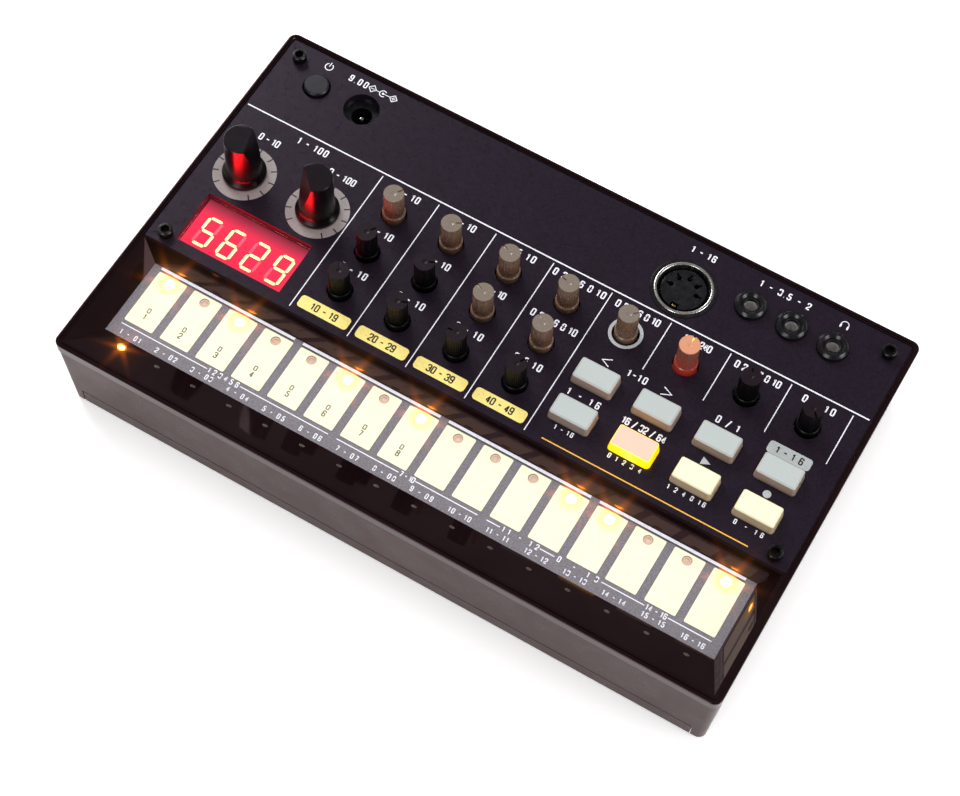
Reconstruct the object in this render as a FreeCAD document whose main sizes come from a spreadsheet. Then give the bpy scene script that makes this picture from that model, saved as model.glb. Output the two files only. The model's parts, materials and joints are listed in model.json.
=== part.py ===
import FreeCAD, Part
import math
import os
import types
import Sketcher

# A table-top drum machine: a drafted case, a framed control panel with knobs, keys and sockets,
# and a touch keyboard sunk in a trough. Millimetres, +Z up, origin on the floor under the middle.

# Driving dimensions, one row each: name, value, meaning
DIMENSIONS = [
    ("case_width", 193.6, "outer width of the rim"),
    ("case_depth", 115.8, "outer depth of the rim"),
    ("case_height", 29.2, "bottom edge of the walls to the top of the rim"),
    ("foot_proud", 0.6, "how far the feet hold the case off the table"),
    ("corner_radius", 2.4, "rounding of the case in plan"),
    ("wall_thickness", 2.2, "side walls of the lower case"),
    ("wall_draft", 2.6, "lean of the side walls, in degrees"),
    ("rim_overhang", 0.3, "step from the rim in to the walls"),
    ("rim_band", 3.0, "height of the frame's outer band"),
    ("rim_width", 1.7, "width of the rim round the panel"),
    ("rim_edge_radius", 0.4, "rounding of the rim's outer edge"),
    ("bead_width", 1.0, "bead outside the rim's fine groove"),
    ("bead_groove", 0.35, "width and depth of that groove"),
    ("panel_drop", 0.3, "panel face below the rim"),
    ("panel_thickness", 2.0, "control panel plate"),
    ("panel_gap", 0.1, "play between the panel and its frame"),
    ("ledge_width", 2.0, "ledge of the frame under the panel's edge"),
    ("trough_rear", 19.0, "rear edge of the trough in front of the middle"),
    ("trough_land", 0.6, "strip of frame between the panel and the trough"),
    ("trough_lip", 0.7, "flat strip between the rim and the trough"),
    ("trough_drop", 5.4, "depth of the trough below the panel face"),
    ("trough_floor_width", 179.4, "width of the trough's floor"),
    ("trough_floor_rear", 21.9, "rear edge of that floor in front of the middle"),
    ("trough_floor_front", 45.2, "front edge of that floor in front of the middle"),
    ("trough_wall", 1.0, "trough's rear and side walls, measured level"),
    ("trough_front_wall", 2.0, "trough's long front slope, measured level"),
    ("touch_thickness", 1.8, "touch board"),
    ("touch_margin", 1.2, "touch board beyond the floor opening"),
    ("key_pitch", 11.05, "pitch of the sixteen touch pads"),
    ("key_width", 8.7, "width of a touch pad"),
    ("key_length", 16.8, "length of a touch pad"),
    ("key_thickness", 0.15, "printed pad above the board"),
    ("key_rear_gap", 1.5, "from the floor's rear edge to the pads"),
    ("lamp_setback", 2.0, "lamp hole centre from a pad's rear edge"),
    ("lamp_hole_radius", 1.35, "hole over a step lamp"),
    ("lamp_hole_depth", 1.2, "depth of that hole in the board"),
    ("lamp_side", 1.7, "square step lamp"),
    ("lamp_height", 0.7, "height of a step lamp"),
    ("floor_thickness", 2.0, "bottom cover plate"),
    ("cover_gap", 0.15, "play between the bottom cover and the walls"),
    ("lip_height", 5.3, "bottom cover's front lip"),
    ("lip_width", 183.0, "width of that lip"),
    ("lip_thickness", 1.6, "thickness of that lip"),
    ("lip_gap", 0.35, "shadow gap round the lip"),
    ("screw_side", 90.3, "panel screws from the middle plane"),
    ("bottom_screw_side", 88.9, "bottom screws from the middle plane"),
    ("screw_rear", 51.0, "rear screws behind the middle"),
    ("screw_middle", 15.2, "middle screws in front of the middle"),
    ("screw_front", 50.4, "front screws in front of the middle"),
    ("post_radius", 2.6, "screw posts"),
    ("low_post_top", 11.0, "posts of the bottom screws above the case bottom"),
    ("rib_width", 1.4, "ribs that tie the posts to the side walls"),
    ("screw_radius", 1.05, "screw shanks"),
    ("screw_length", 8.0, "length of a shank"),
    ("screw_play", 0.05, "play round a shank"),
    ("socket_head_radius", 1.95, "heads of the panel screws"),
    ("socket_head_height", 2.3, "height of those heads"),
    ("socket_head_bevel", 0.25, "bevel of those heads"),
    ("hex_radius", 1.3, "corner radius of their hexagon sockets"),
    ("hex_depth", 1.3, "depth of those sockets"),
    ("flat_head_radius", 2.1, "heads of the bottom and board screws"),
    ("flat_head_height", 1.0, "height of those heads"),
    ("head_play", 0.25, "play round a sunk head"),
    ("foot_radius", 4.8, "rubber feet"),
    ("foot_sink", 0.4, "recess that holds a foot"),
    ("foot_side", 86.0, "feet from the middle plane"),
    ("foot_rear", 40.0, "rear feet behind the middle"),
    ("foot_front", 40.0, "front feet in front of the middle"),
    ("board_level", 14.6, "main board's top above the case bottom"),
    ("board_thickness", 1.6, "main board"),
    ("board_width", 174.6, "width of the main board"),
    ("board_rear", 53.4, "its rear edge behind the middle"),
    ("board_front", 17.3, "its front edge in front of the middle"),
    ("standoff_radius", 2.6, "posts under the main board"),
    ("standoff_side", 52.0, "those posts from the middle plane"),
    ("standoff_rear", 34.0, "rear ones behind the middle"),
    ("standoff_front", 11.0, "front ones in front of the middle"),
    ("bay_centre", 35.5, "battery bay centre in front of the middle"),
    ("bay_length", 159.0, "inner length of the battery bay"),
    ("bay_width", 31.0, "inner width of the battery bay"),
    ("bay_height", 16.6, "inner height above the case bottom"),
    ("bay_wall", 1.2, "walls and roof of the bay"),
    ("touch_post_radius", 2.0, "posts from the bay roof to the touch board"),
    ("touch_post_side", 70.0, "those posts from the middle plane"),
    ("cell_radius", 7.25, "battery cell"),
    ("cell_length", 49.2, "battery cell without its button"),
    ("cell_button", 1.3, "length of the cell's button"),
    ("cell_button_radius", 2.7, "radius of the cell's button"),
    ("cell_gap", 0.1, "play between cells end to end"),
    ("cell_row_pitch", 14.9, "between the two rows of cells"),
    ("cell_lift", 0.3, "cells above the closed door"),
    ("contact_side", 10.0, "square battery contact"),
    ("contact_thickness", 0.5, "contact plate"),
    ("contact_spring", 3.0, "contact spring"),
    ("contact_spring_radius", 2.5, "radius of that spring"),
    ("door_thickness", 1.6, "battery door"),
    ("door_gap", 0.25, "play round the door"),
    ("door_tongue", 2.4, "height of the snap tongue"),
    ("door_tongue_width", 10.0, "width of that tongue"),
    ("grip_width", 20.0, "finger grooves of the door"),
    ("grip_pitch", 2.0, "pitch of those grooves"),
    ("grip_groove", 0.8, "width of a groove"),
    ("grip_depth", 0.4, "depth of a groove"),
    ("grip_setback", 4.0, "first groove from the door's free edge"),
    ("speaker_across", 30.0, "speaker's place to the right of the middle"),
    ("speaker_back", 18.0, "speaker's place behind the middle"),
    ("speaker_radius", 19.0, "speaker flange"),
    ("speaker_height", 9.0, "speaker flange to magnet"),
    ("speaker_flange", 2.5, "width of its flange"),
    ("speaker_sheet", 1.2, "thickness of its flange and basket"),
    ("magnet_radius", 9.5, "magnet"),
    ("magnet_height", 4.5, "magnet"),
    ("dome_radius", 4.0, "dome in the middle of the cone"),
    ("cone_paper", 0.5, "thickness of the cone"),
    ("cone_drop", 0.5, "dome below the magnet"),
    ("cone_lift", 0.1, "edge of the cone above the cover"),
    ("speaker_play", 0.2, "play between the speaker and its ring"),
    ("speaker_ring", 1.2, "wall of the ring that locates the speaker"),
    ("speaker_ring_top", 4.0, "top of that ring above the case bottom"),
    ("grille_slot", 1.6, "width of a grille slot"),
    ("grille_pitch", 4.0, "pitch of the grille slots"),
    ("grille_length", 24.0, "length of a grille slot"),
    ("first_column", -41.7, "first column of knobs from the middle"),
    ("column_pitch", 17.6, "between the columns"),
    ("knob_row", 21.1, "rear row of small knobs behind the middle"),
    ("row_pitch", 13.7, "between the rows of small knobs"),
    ("knob_hole_radius", 3.6, "panel holes for the small knobs"),
    ("knob_height", 10.3, "small knob above the panel"),
    ("knob_radius", 2.8, "grip of a small knob"),
    ("collar_radius", 3.15, "collar of a small knob"),
    ("collar_height", 2.0, "top of the collar above the panel"),
    ("knob_bevel", 0.3, "bevel of a small knob's top"),
    ("waist_radius", 2.5, "waist above the collar"),
    ("waist_height", 0.6, "height of the waist"),
    ("collar_drop", 4.2, "collar below the panel face"),
    ("stem_radius", 1.5, "thin end that turns in the control"),
    ("stem_drop", 12.2, "end of the stem below the panel face"),
    ("pointer_width", 0.6, "pointer groove in a small knob"),
    ("pointer_depth", 0.5, "depth of that groove"),
    ("pot_width", 9.8, "rotary control body"),
    ("pot_depth", 11.0, "rotary control body, front to back"),
    ("pot_height", 8.8, "rotary control body above the board"),
    ("turn_play", 0.05, "play round a turning stem"),
    ("seat_play", 0.2, "end of a stem above the floor of its control"),
    ("dial_row", 11.5, "large knobs behind the middle"),
    ("time_across", -82.8, "first large knob from the middle"),
    ("depth_across", -59.7, "second large knob from the middle"),
    ("dial_hole_radius", 3.6, "panel holes for the large knobs' shafts"),
    ("dial_height", 16.3, "large knob above the panel"),
    ("dial_top_radius", 4.6, "top of a large knob"),
    ("dial_bevel", 0.2, "bevel of its top"),
    ("dial_body_radius", 4.8, "foot of its body"),
    ("skirt_radius", 6.0, "skirt of a large knob"),
    ("skirt_height", 2.1, "top of the skirt above the panel"),
    ("skirt_bevel", 0.7, "bevel of the skirt"),
    ("skirt_gap", 0.5, "skirt above the panel"),
    ("facet_reach", 2.1, "pointer facet's top edge from the axis"),
    ("facet_foot", 4.5, "foot of the facet above the panel"),
    ("shaft_radius", 3.0, "shaft of a large knob"),
    ("shaft_height", 11.5, "top of that shaft above the panel"),
    ("shaft_play", 0.03, "fit of the cap on its shaft"),
    ("button_row", 4.9, "rear row of keys behind the middle"),
    ("button_row_pitch", 12.1, "between the rows of keys"),
    ("button_width", 11.8, "key cap"),
    ("button_depth", 7.0, "key cap, front to back"),
    ("button_height", 3.1, "key cap above the panel"),
    ("button_corner", 1.0, "corner of a key cap in plan"),
    ("button_draft", 7.0, "lean of its sides, in degrees"),
    ("button_edge", 0.4, "bevel of its top edge"),
    ("button_play", 0.2, "play round a key cap"),
    ("flange_reach", 0.7, "flange under the panel beyond the cap"),
    ("flange_thickness", 1.0, "that flange"),
    ("flange_gap", 0.3, "flange below the panel"),
    ("plunger_radius", 1.6, "plunger of a key"),
    ("plunger_play", 0.1, "play of the plunger in its switch"),
    ("plunger_lift", 2.2, "end of the plunger above the board"),
    ("switch_side", 6.0, "square switch body"),
    ("switch_height", 4.3, "switch body above the board"),
    ("switch_floor", 1.2, "floor of the switch under the plunger"),
    ("power_across", -81.3, "power key from the middle"),
    ("power_back", 45.5, "power key and supply socket behind the middle"),
    ("power_radius", 3.5, "power key"),
    ("power_height", 1.2, "power key above the panel"),
    ("power_play", 0.45, "play round the power key"),
    ("supply_across", -66.85, "supply socket from the middle"),
    ("supply_recess_radius", 5.05, "recess of the supply socket"),
    ("supply_recess_depth", 3.4, "depth of that recess"),
    ("supply_body_radius", 6.2, "body of the supply socket"),
    ("supply_bore_radius", 2.9, "bore for the supply plug"),
    ("supply_bore_depth", 9.0, "depth of that bore"),
    ("supply_pin_radius", 1.0, "centre pin"),
    ("supply_pin_length", 8.0, "centre pin above the bore's floor"),
    ("din_across", 35.4, "round five-pin socket from the middle"),
    ("din_back", 40.9, "round five-pin socket behind the middle"),
    ("din_radius", 9.0, "its body"),
    ("din_proud", 0.2, "its body above the panel"),
    ("din_shell_radius", 8.05, "its metal shell"),
    ("din_shell_wall", 0.9, "wall of that shell"),
    ("din_shell_proud", 0.45, "shell above the panel"),
    ("din_shell_bevel", 0.2, "bevel of that shell"),
    ("din_insert_radius", 6.1, "insert with the pin holes"),
    ("din_insert_drop", 0.6, "insert's face below the panel"),
    ("din_well_depth", 9.0, "annular well below the panel"),
    ("din_pin_circle", 3.7, "circle of the pin holes"),
    ("din_pin_radius", 0.75, "pin holes"),
    ("din_pin_depth", 6.0, "depth of the pin holes"),
    ("din_slot_reach", 5.2, "outer end of the slot beside a pin hole, from the axis"),
    ("din_slot_width", 0.6, "width of that slot"),
    ("din_slot_depth", 1.5, "depth of that slot"),
    ("din_key_width", 2.2, "key notch in the insert"),
    ("din_key_reach", 1.5, "how far that notch reaches in"),
    ("din_play", 0.05, "fit of the shell and of the panel hole"),
    ("jack_across", 52.95, "first headphone-size socket from the middle"),
    ("jack_pitch", 12.0, "between those sockets"),
    ("jack_back", 45.2, "those sockets behind the middle"),
    ("jack_width", 9.0, "socket body"),
    ("jack_depth", 10.0, "socket body, front to back"),
    ("jack_body_height", 12.0, "socket body above the board"),
    ("jack_nose_radius", 4.25, "round nose of a socket"),
    ("jack_nose_height", 1.8, "nose above the panel"),
    ("jack_nose_bevel", 0.7, "bevel of the nose, outside and round its bore"),
    ("jack_bore_radius", 2.3, "bore of the nose"),
    ("jack_bore_depth", 11.0, "depth of that bore"),
    ("jack_nose_play", 0.1, "play of the nose in the panel"),
    ("plug_radius", 1.8, "bore that takes the plug"),
    ("sleeve_drop", 0.9, "metal sleeve below the nose's top"),
    ("sleeve_length", 6.0, "metal sleeve"),
    ("sleeve_play", 0.02, "fit of the sleeve in the nose"),
    ("display_across", -71.15, "display from the middle"),
    ("display_front", 6.8, "display in front of the middle"),
    ("display_width", 32.3, "display opening"),
    ("display_depth", 16.35, "display opening, front to back"),
    ("window_margin", 0.2, "window beyond the opening"),
    ("window_thickness", 1.0, "red window"),
    ("module_inset", 0.3, "display block inside the window's outline"),
    ("module_height", 8.0, "display block"),
    ("module_rail", 2.0, "width of the rails under the display block"),
]

os.makedirs("parts", exist_ok=True)
doc = FreeCAD.newDocument("drum_machine")
sheet = doc.addObject("Spreadsheet::Sheet", "Sizes")
for row, (name, value, meaning) in enumerate(DIMENSIONS, start=1):
    sheet.set(f"A{row}", meaning)
    sheet.set(f"B{row}", str(value))
    sheet.setAlias(f"B{row}", name)
doc.recompute()


class Formula:
    """A length worked out from the sheet: its number now, and the expression that keeps it so."""

    def __init__(self, number, text):
        self.number = number
        self.text = text

    def __add__(self, other):
        other = formula(other)
        return Formula(self.number + other.number, f"({self.text} + {other.text})")

    def __sub__(self, other):
        other = formula(other)
        return Formula(self.number - other.number, f"({self.text} - {other.text})")

    def __mul__(self, other):
        other = formula(other)
        return Formula(self.number * other.number, f"({self.text} * {other.text})")

    def __truediv__(self, other):
        other = formula(other)
        return Formula(self.number / other.number, f"({self.text} / {other.text})")

    def __neg__(self):
        return Formula(-self.number, f"(0 - {self.text})")


def formula(value):
    """A plain number as a formula; a formula stays itself."""
    if isinstance(value, Formula):
        return value
    return Formula(float(value), f"({float(value):.9g})")


def tangent(angle):
    """The tangent of an angle that the sheet gives in degrees."""
    return Formula(math.tan(math.radians(angle.number)), f"tan({angle.text} * 1deg)")


size = types.SimpleNamespace(
    **{name: Formula(float(sheet.get(name)), f"Sizes.{name}") for name, value, meaning in DIMENSIONS}
)


def bind(item, property_name, value):
    """Tie one property of an object to the sheet."""
    item.setExpression(property_name, formula(value).text)


# Levels above the floor that several pieces share
RIM_TOP = size.foot_proud + size.case_height
FRAME_UNDER = RIM_TOP - size.rim_band
PANEL_TOP = RIM_TOP - size.panel_drop
PANEL_UNDER = PANEL_TOP - size.panel_thickness
TROUGH_FLOOR = PANEL_TOP - size.trough_drop
TOUCH_UNDER = TROUGH_FLOOR - size.touch_thickness
BOARD_TOP = size.foot_proud + size.board_level
BOARD_TO_PANEL = PANEL_TOP - BOARD_TOP
CELL_LEVEL = size.foot_proud + size.door_thickness + size.cell_lift + size.cell_radius

# Outlines that several pieces share
WALL_HEIGHT = size.case_height - size.rim_band
WALL_LEAN = tangent(size.wall_draft) * WALL_HEIGHT
WALL_HALF_WIDTH = size.case_width / 2 - size.rim_overhang
WALL_HALF_DEPTH = size.case_depth / 2 - size.rim_overhang
INNER_HALF_WIDTH = size.case_width / 2 - size.rim_width
INNER_HALF_DEPTH = size.case_depth / 2 - size.rim_width
PANEL_FRONT = size.trough_rear - size.trough_land
TROUGH_HALF_WIDTH = INNER_HALF_WIDTH - size.trough_lip
TROUGH_FRONT = INNER_HALF_DEPTH - size.trough_lip
INNER_CORNER = size.corner_radius - size.rim_width
CASE_CORNER = size.corner_radius - size.rim_overhang
HOLLOW_CORNER = CASE_CORNER / 2
HOLLOW_HALF_WIDTH = WALL_HALF_WIDTH - WALL_LEAN - size.wall_thickness
HOLLOW_HALF_DEPTH = WALL_HALF_DEPTH - WALL_LEAN - size.wall_thickness
KEY_COUNT = 16
KEY_REAR = size.trough_floor_rear + size.key_rear_gap
GRILLE_SLOTS = 7
GRIP_GROOVES = 3
CUT_BEYOND = 1

PANEL_SCREWS = [
    (side * size.screw_side, back)
    for side in (formula(-1), formula(1))
    for back in (size.screw_rear, -size.screw_middle)
]
BOTTOM_ROWS = (size.screw_rear, -size.screw_middle, -size.screw_front)
BOTTOM_SCREWS = [
    (side * size.bottom_screw_side, back)
    for side in (formula(-1), formula(1))
    for back in BOTTOM_ROWS
]
STANDOFFS = [
    (side * size.standoff_side, back)
    for side in (formula(-1), formula(1))
    for back in (size.standoff_rear, -size.standoff_front)
]
FEET = [
    (side * size.foot_side, back)
    for side in (formula(-1), formula(1))
    for back in (size.foot_rear, -size.foot_front)
]


def column(number):
    """Place across the panel of a knob or key column, counted from 0."""
    return size.first_column + size.column_pitch * number


def knob_place(number, row):
    """Place of a small knob by column and row, counted from 0."""
    return column(number), size.knob_row - size.row_pitch * row


def button_place(number, row):
    """Place of a key by column and row, counted from 0."""
    return column(number), size.button_row - size.button_row_pitch * row


# Small knobs: name, column, row, and where the pointer stands, clockwise from straight back
SMALL_KNOBS = [
    ("kick_click_knob", 0, 0, 35),
    ("kick_pitch_knob", 0, 1, 35),
    ("kick_decay_knob", 0, 2, -25),
    ("snare_snap_knob", 1, 0, 60),
    ("snare_pitch_knob", 1, 1, 65),
    ("snare_decay_knob", 1, 2, 70),
    ("tom_high_knob", 2, 0, -65),
    ("tom_low_knob", 2, 1, -65),
    ("tom_decay_knob", 2, 2, -95),
    ("hat_closed_knob", 3, 0, -75),
    ("hat_open_knob", 3, 1, -50),
    ("hat_grain_knob", 3, 2, 30),
    ("sample_speed_knob", 4, 0, 55),
    ("tempo_knob", 5, 0, 0),
    ("part_level_knob", 6, 0, -15),
    ("volume_knob", 7, 0, 140),
]
LARGE_KNOBS = [("time", size.time_across, 75), ("depth", size.depth_across, -135)]
BUTTONS = [
    ("part_back_button", 4, 0),
    ("part_next_button", 5, 0),
    ("mute_button", 6, 0),
    ("function_button", 7, 0),
    ("memory_button", 4, 1),
    ("step_mode_button", 5, 1),
    ("play_button", 6, 1),
    ("record_button", 7, 1),
]
JACKS = [("sync_in_jack", 0), ("sync_out_jack", 1), ("headphone_jack", 2)]


def new_body(label, across=0, back=0, up=0, turn=0):
    """An empty body that stands at a place worked out from the sheet, turned about the upright."""
    body = doc.addObject("PartDesign::Body", label)
    body.Label = label
    body.AllowCompound = True
    upright = FreeCAD.Vector(0, 0, 1)
    body.Placement = FreeCAD.Placement(FreeCAD.Vector(), FreeCAD.Rotation(upright, turn))
    for axis, place in zip("xyz", (across, back, up)):
        bind(body, f"Placement.Base.{axis}", place)
    return body


def new_sketch(body, level=0, role="XY_Plane"):
    """A sketch on one of the body's own planes, lifted off it by a level."""
    sketch = body.newObject("Sketcher::SketchObject", "Sketch")
    plane = next(item for item in body.Origin.OriginFeatures if item.Role == role)
    sketch.AttachmentSupport = [(plane, "")]
    sketch.MapMode = "FlatFace"
    bind(sketch, "AttachmentOffset.Base.z", level)
    return sketch


def pin_point(sketch, item, end, across, back):
    """Hold one point of a sketch at a place from the sheet."""
    for kind, place in (("DistanceX", across), ("DistanceY", back)):
        place = formula(place)
        number = sketch.addConstraint(Sketcher.Constraint(kind, -1, 1, item, end, place.number))
        bind(sketch, f"Constraints[{number}]", place)


def draw_loop(sketch, corners):
    """A closed loop of straight lines through corners given as places from the sheet."""
    first = sketch.GeometryCount
    points = [FreeCAD.Vector(formula(x).number, formula(y).number, 0) for x, y in corners]
    count = len(points)
    lines = [Part.LineSegment(points[n], points[(n + 1) % count]) for n in range(count)]
    sketch.addGeometry(lines, False)
    joins = [
        Sketcher.Constraint("Coincident", first + n, 2, first + (n + 1) % count, 1)
        for n in range(count)
    ]
    sketch.addConstraint(joins)
    for n, (across, back) in enumerate(corners):
        pin_point(sketch, first + n, 1, across, back)


def draw_box(sketch, left, right, front, rear):
    """A rectangle between two places across and two places back."""
    draw_loop(sketch, [(left, front), (right, front), (right, rear), (left, rear)])


def draw_block(sketch, across, back, width, depth):
    """A rectangle about its middle."""
    across, back, width, depth = (formula(value) for value in (across, back, width, depth))
    left, right = across - width / 2, across + width / 2
    front, rear = back - depth / 2, back + depth / 2
    draw_box(sketch, left, right, front, rear)


def draw_rounded_block(sketch, across, back, width, depth, corner):
    """A rectangle with round corners about its middle."""
    across, back, width, depth = (formula(value) for value in (across, back, width, depth))
    left, right = across - width / 2, across + width / 2
    front, rear = back - depth / 2, back + depth / 2
    draw_rounded(sketch, left, right, front, rear, corner)


def draw_circle(sketch, across, back, radius):
    """A circle about a place."""
    across, back, radius = (formula(value) for value in (across, back, radius))
    centre = FreeCAD.Vector(across.number, back.number, 0)
    item = sketch.addGeometry(Part.Circle(centre, FreeCAD.Vector(0, 0, 1), radius.number), False)
    pin_point(sketch, item, 3, across, back)
    number = sketch.addConstraint(Sketcher.Constraint("Radius", item, radius.number))
    bind(sketch, f"Constraints[{number}]", radius)


def draw_rounded(sketch, left, right, front, rear, corner):
    """A rectangle with round corners: four lines and four arcs, tangent where they meet."""
    first = sketch.GeometryCount
    left, right, front, rear, corner = (formula(v) for v in (left, right, front, rear, corner))
    x0, x1, y0, y1, r = (v.number for v in (left, right, front, rear, corner))
    up = FreeCAD.Vector(0, 0, 1)
    ends = [
        ((x0 + r, y0), (x1 - r, y0)),
        ((x1, y0 + r), (x1, y1 - r)),
        ((x1 - r, y1), (x0 + r, y1)),
        ((x0, y1 - r), (x0, y0 + r)),
    ]
    for start, end in ends:
        sketch.addGeometry(Part.LineSegment(FreeCAD.Vector(*start), FreeCAD.Vector(*end)), False)
    centres = [(x1 - r, y0 + r), (x1 - r, y1 - r), (x0 + r, y1 - r), (x0 + r, y0 + r)]
    for quarter, centre in enumerate(centres):
        start = math.radians(90 * (quarter - 1))
        circle = Part.Circle(FreeCAD.Vector(*centre), up, r)
        sketch.addGeometry(Part.ArcOfCircle(circle, start, start + math.pi / 2), False)
    for corner_number in range(4):
        line, arc = first + corner_number, first + 4 + corner_number
        following = first + (corner_number + 1) % 4
        sketch.addConstraint(Sketcher.Constraint("Tangent", line, 2, arc, 1))
        sketch.addConstraint(Sketcher.Constraint("Tangent", arc, 2, following, 1))
    for line, kind in enumerate(("Horizontal", "Vertical", "Horizontal", "Vertical")):
        sketch.addConstraint(Sketcher.Constraint(kind, first + line))
    for arc in range(1, 4):
        sketch.addConstraint(Sketcher.Constraint("Equal", first + 4, first + 4 + arc))
    number = sketch.addConstraint(Sketcher.Constraint("Radius", first + 4, r))
    bind(sketch, f"Constraints[{number}]", corner)
    sides = [("DistanceY", 0, front), ("DistanceX", 1, right), ("DistanceY", 2, rear), ("DistanceX", 3, left)]
    for kind, line, place in sides:
        number = sketch.addConstraint(Sketcher.Constraint(kind, -1, 1, first + line, 1, place.number))
        bind(sketch, f"Constraints[{number}]", place)


def pad(body, sketch, length, down=False, taper=None):
    """Grow a sketch into a solid, upwards unless told otherwise."""
    feature = body.newObject("PartDesign::Pad", "Pad")
    feature.Profile = sketch
    bind(feature, "Length", length)
    feature.Reversed = down
    if taper is not None:
        bind(feature, "TaperAngle", taper)
    return feature


def pocket(body, sketch, depth, up=False):
    """Cut a sketch out of the solid, downwards unless told otherwise."""
    feature = body.newObject("PartDesign::Pocket", "Pocket")
    feature.Profile = sketch
    bind(feature, "Length", depth)
    feature.Reversed = up
    return feature


def revolve(body, corners):
    """Turn a half profile, given as (radius, height) corners, about the upright axis."""
    sketch = new_sketch(body, role="XZ_Plane")
    draw_loop(sketch, corners)
    feature = body.newObject("PartDesign::Revolution", "Revolution")
    feature.Profile = sketch
    feature.ReferenceAxis = (sketch, ["V_Axis"])
    feature.Angle = 360
    return feature


def loft(body, kind, lower, upper):
    """Join two sketches with straight sides, adding or cutting."""
    feature = body.newObject(f"PartDesign::{kind}", "Loft")
    feature.Profile = lower
    feature.Sections = [upper]
    feature.Ruled = True
    return feature


def finish_edges(body, kind, property_name, value, wanted):
    """Round or bevel the edges that a test picks from the body so far."""
    doc.recompute()
    base = body.Tip
    names = [f"Edge{n}" for n, edge in enumerate(base.Shape.Edges, start=1) if wanted(edge)]
    feature = body.newObject(f"PartDesign::{kind}", kind)
    feature.Base = (base, names)
    bind(feature, property_name, value)
    return feature


def at_level(level):
    """A test for edges that lie flat at one level of the body."""
    def wanted(edge):
        box = edge.BoundBox
        return abs(box.ZMin - level.number) < 1e-6 and abs(box.ZMax - level.number) < 1e-6
    return wanted


def round_edges(body, radius, level):
    """Fillet every edge at one level."""
    return finish_edges(body, "Fillet", "Radius", radius, at_level(formula(level)))


def bevel_edges(body, width, level):
    """Bevel every edge at one level."""
    return finish_edges(body, "Chamfer", "Size", width, at_level(formula(level)))


# Housing


def trough_at_frame(opening, floor):
    """Where a sloping face of the trough stands at the level of the frame's underside."""
    share = (PANEL_TOP - FRAME_UNDER) / size.trough_drop
    return opening + (floor - opening) * share


def make_top_frame():
    """Moulded frame: rim with bead and groove, ledge for the panel, and the keyboard trough."""
    body = new_body("top_frame", up=FRAME_UNDER)
    outline = new_sketch(body)
    half_width, half_depth = size.case_width / 2, size.case_depth / 2
    draw_rounded(outline, -half_width, half_width, -half_depth, half_depth, size.corner_radius)
    pad(body, outline, size.rim_band)
    round_edges(body, size.rim_edge_radius, size.rim_band)

    groove = new_sketch(body, size.rim_band)
    for inset in (size.bead_width, size.bead_width + size.bead_groove):
        across, back = half_width - inset, half_depth - inset
        draw_rounded(groove, -across, across, -back, back, size.corner_radius - inset)
    pocket(body, groove, size.bead_groove)

    wall, front_wall = size.trough_wall, size.trough_front_wall
    wall_top = new_sketch(body)
    across = trough_at_frame(TROUGH_HALF_WIDTH, size.trough_floor_width / 2) + wall
    front = -trough_at_frame(TROUGH_FRONT, size.trough_floor_front) - front_wall
    rear = -trough_at_frame(size.trough_rear, size.trough_floor_rear) + wall
    draw_box(wall_top, -across, across, front, rear)
    wall_foot = new_sketch(body, TROUGH_FLOOR - FRAME_UNDER)
    across = size.trough_floor_width / 2 + wall
    front, rear = -size.trough_floor_front - front_wall, -size.trough_floor_rear + wall
    draw_box(wall_foot, -across, across, front, rear)
    loft(body, "AdditiveLoft", wall_foot, wall_top)

    opening = new_sketch(body, PANEL_TOP - FRAME_UNDER)
    draw_box(opening, -TROUGH_HALF_WIDTH, TROUGH_HALF_WIDTH, -TROUGH_FRONT, -size.trough_rear)
    floor = new_sketch(body, TROUGH_FLOOR - FRAME_UNDER)
    across = size.trough_floor_width / 2
    draw_box(floor, -across, across, -size.trough_floor_front, -size.trough_floor_rear)
    loft(body, "SubtractiveLoft", floor, opening)
    lip = new_sketch(body, size.rim_band)
    draw_rounded(lip, -INNER_HALF_WIDTH, INNER_HALF_WIDTH, -INNER_HALF_DEPTH, INNER_HALF_DEPTH, INNER_CORNER)
    pocket(body, lip, size.panel_drop)

    recess = new_sketch(body, size.rim_band - size.panel_drop)
    draw_rounded(recess, -INNER_HALF_WIDTH, INNER_HALF_WIDTH, -PANEL_FRONT, INNER_HALF_DEPTH, INNER_CORNER)
    pocket(body, recess, size.panel_thickness)
    window = new_sketch(body, size.rim_band)
    across, rear = INNER_HALF_WIDTH - size.ledge_width, INNER_HALF_DEPTH - size.ledge_width
    draw_box(window, -across, across, -PANEL_FRONT + size.ledge_width, rear)
    pocket(body, window, size.rim_band)
    relief = new_sketch(body, size.rim_band)
    for across, back in PANEL_SCREWS:
        draw_circle(relief, across, back, size.post_radius + size.head_play)
    pocket(body, relief, size.rim_band)
    return body


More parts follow.
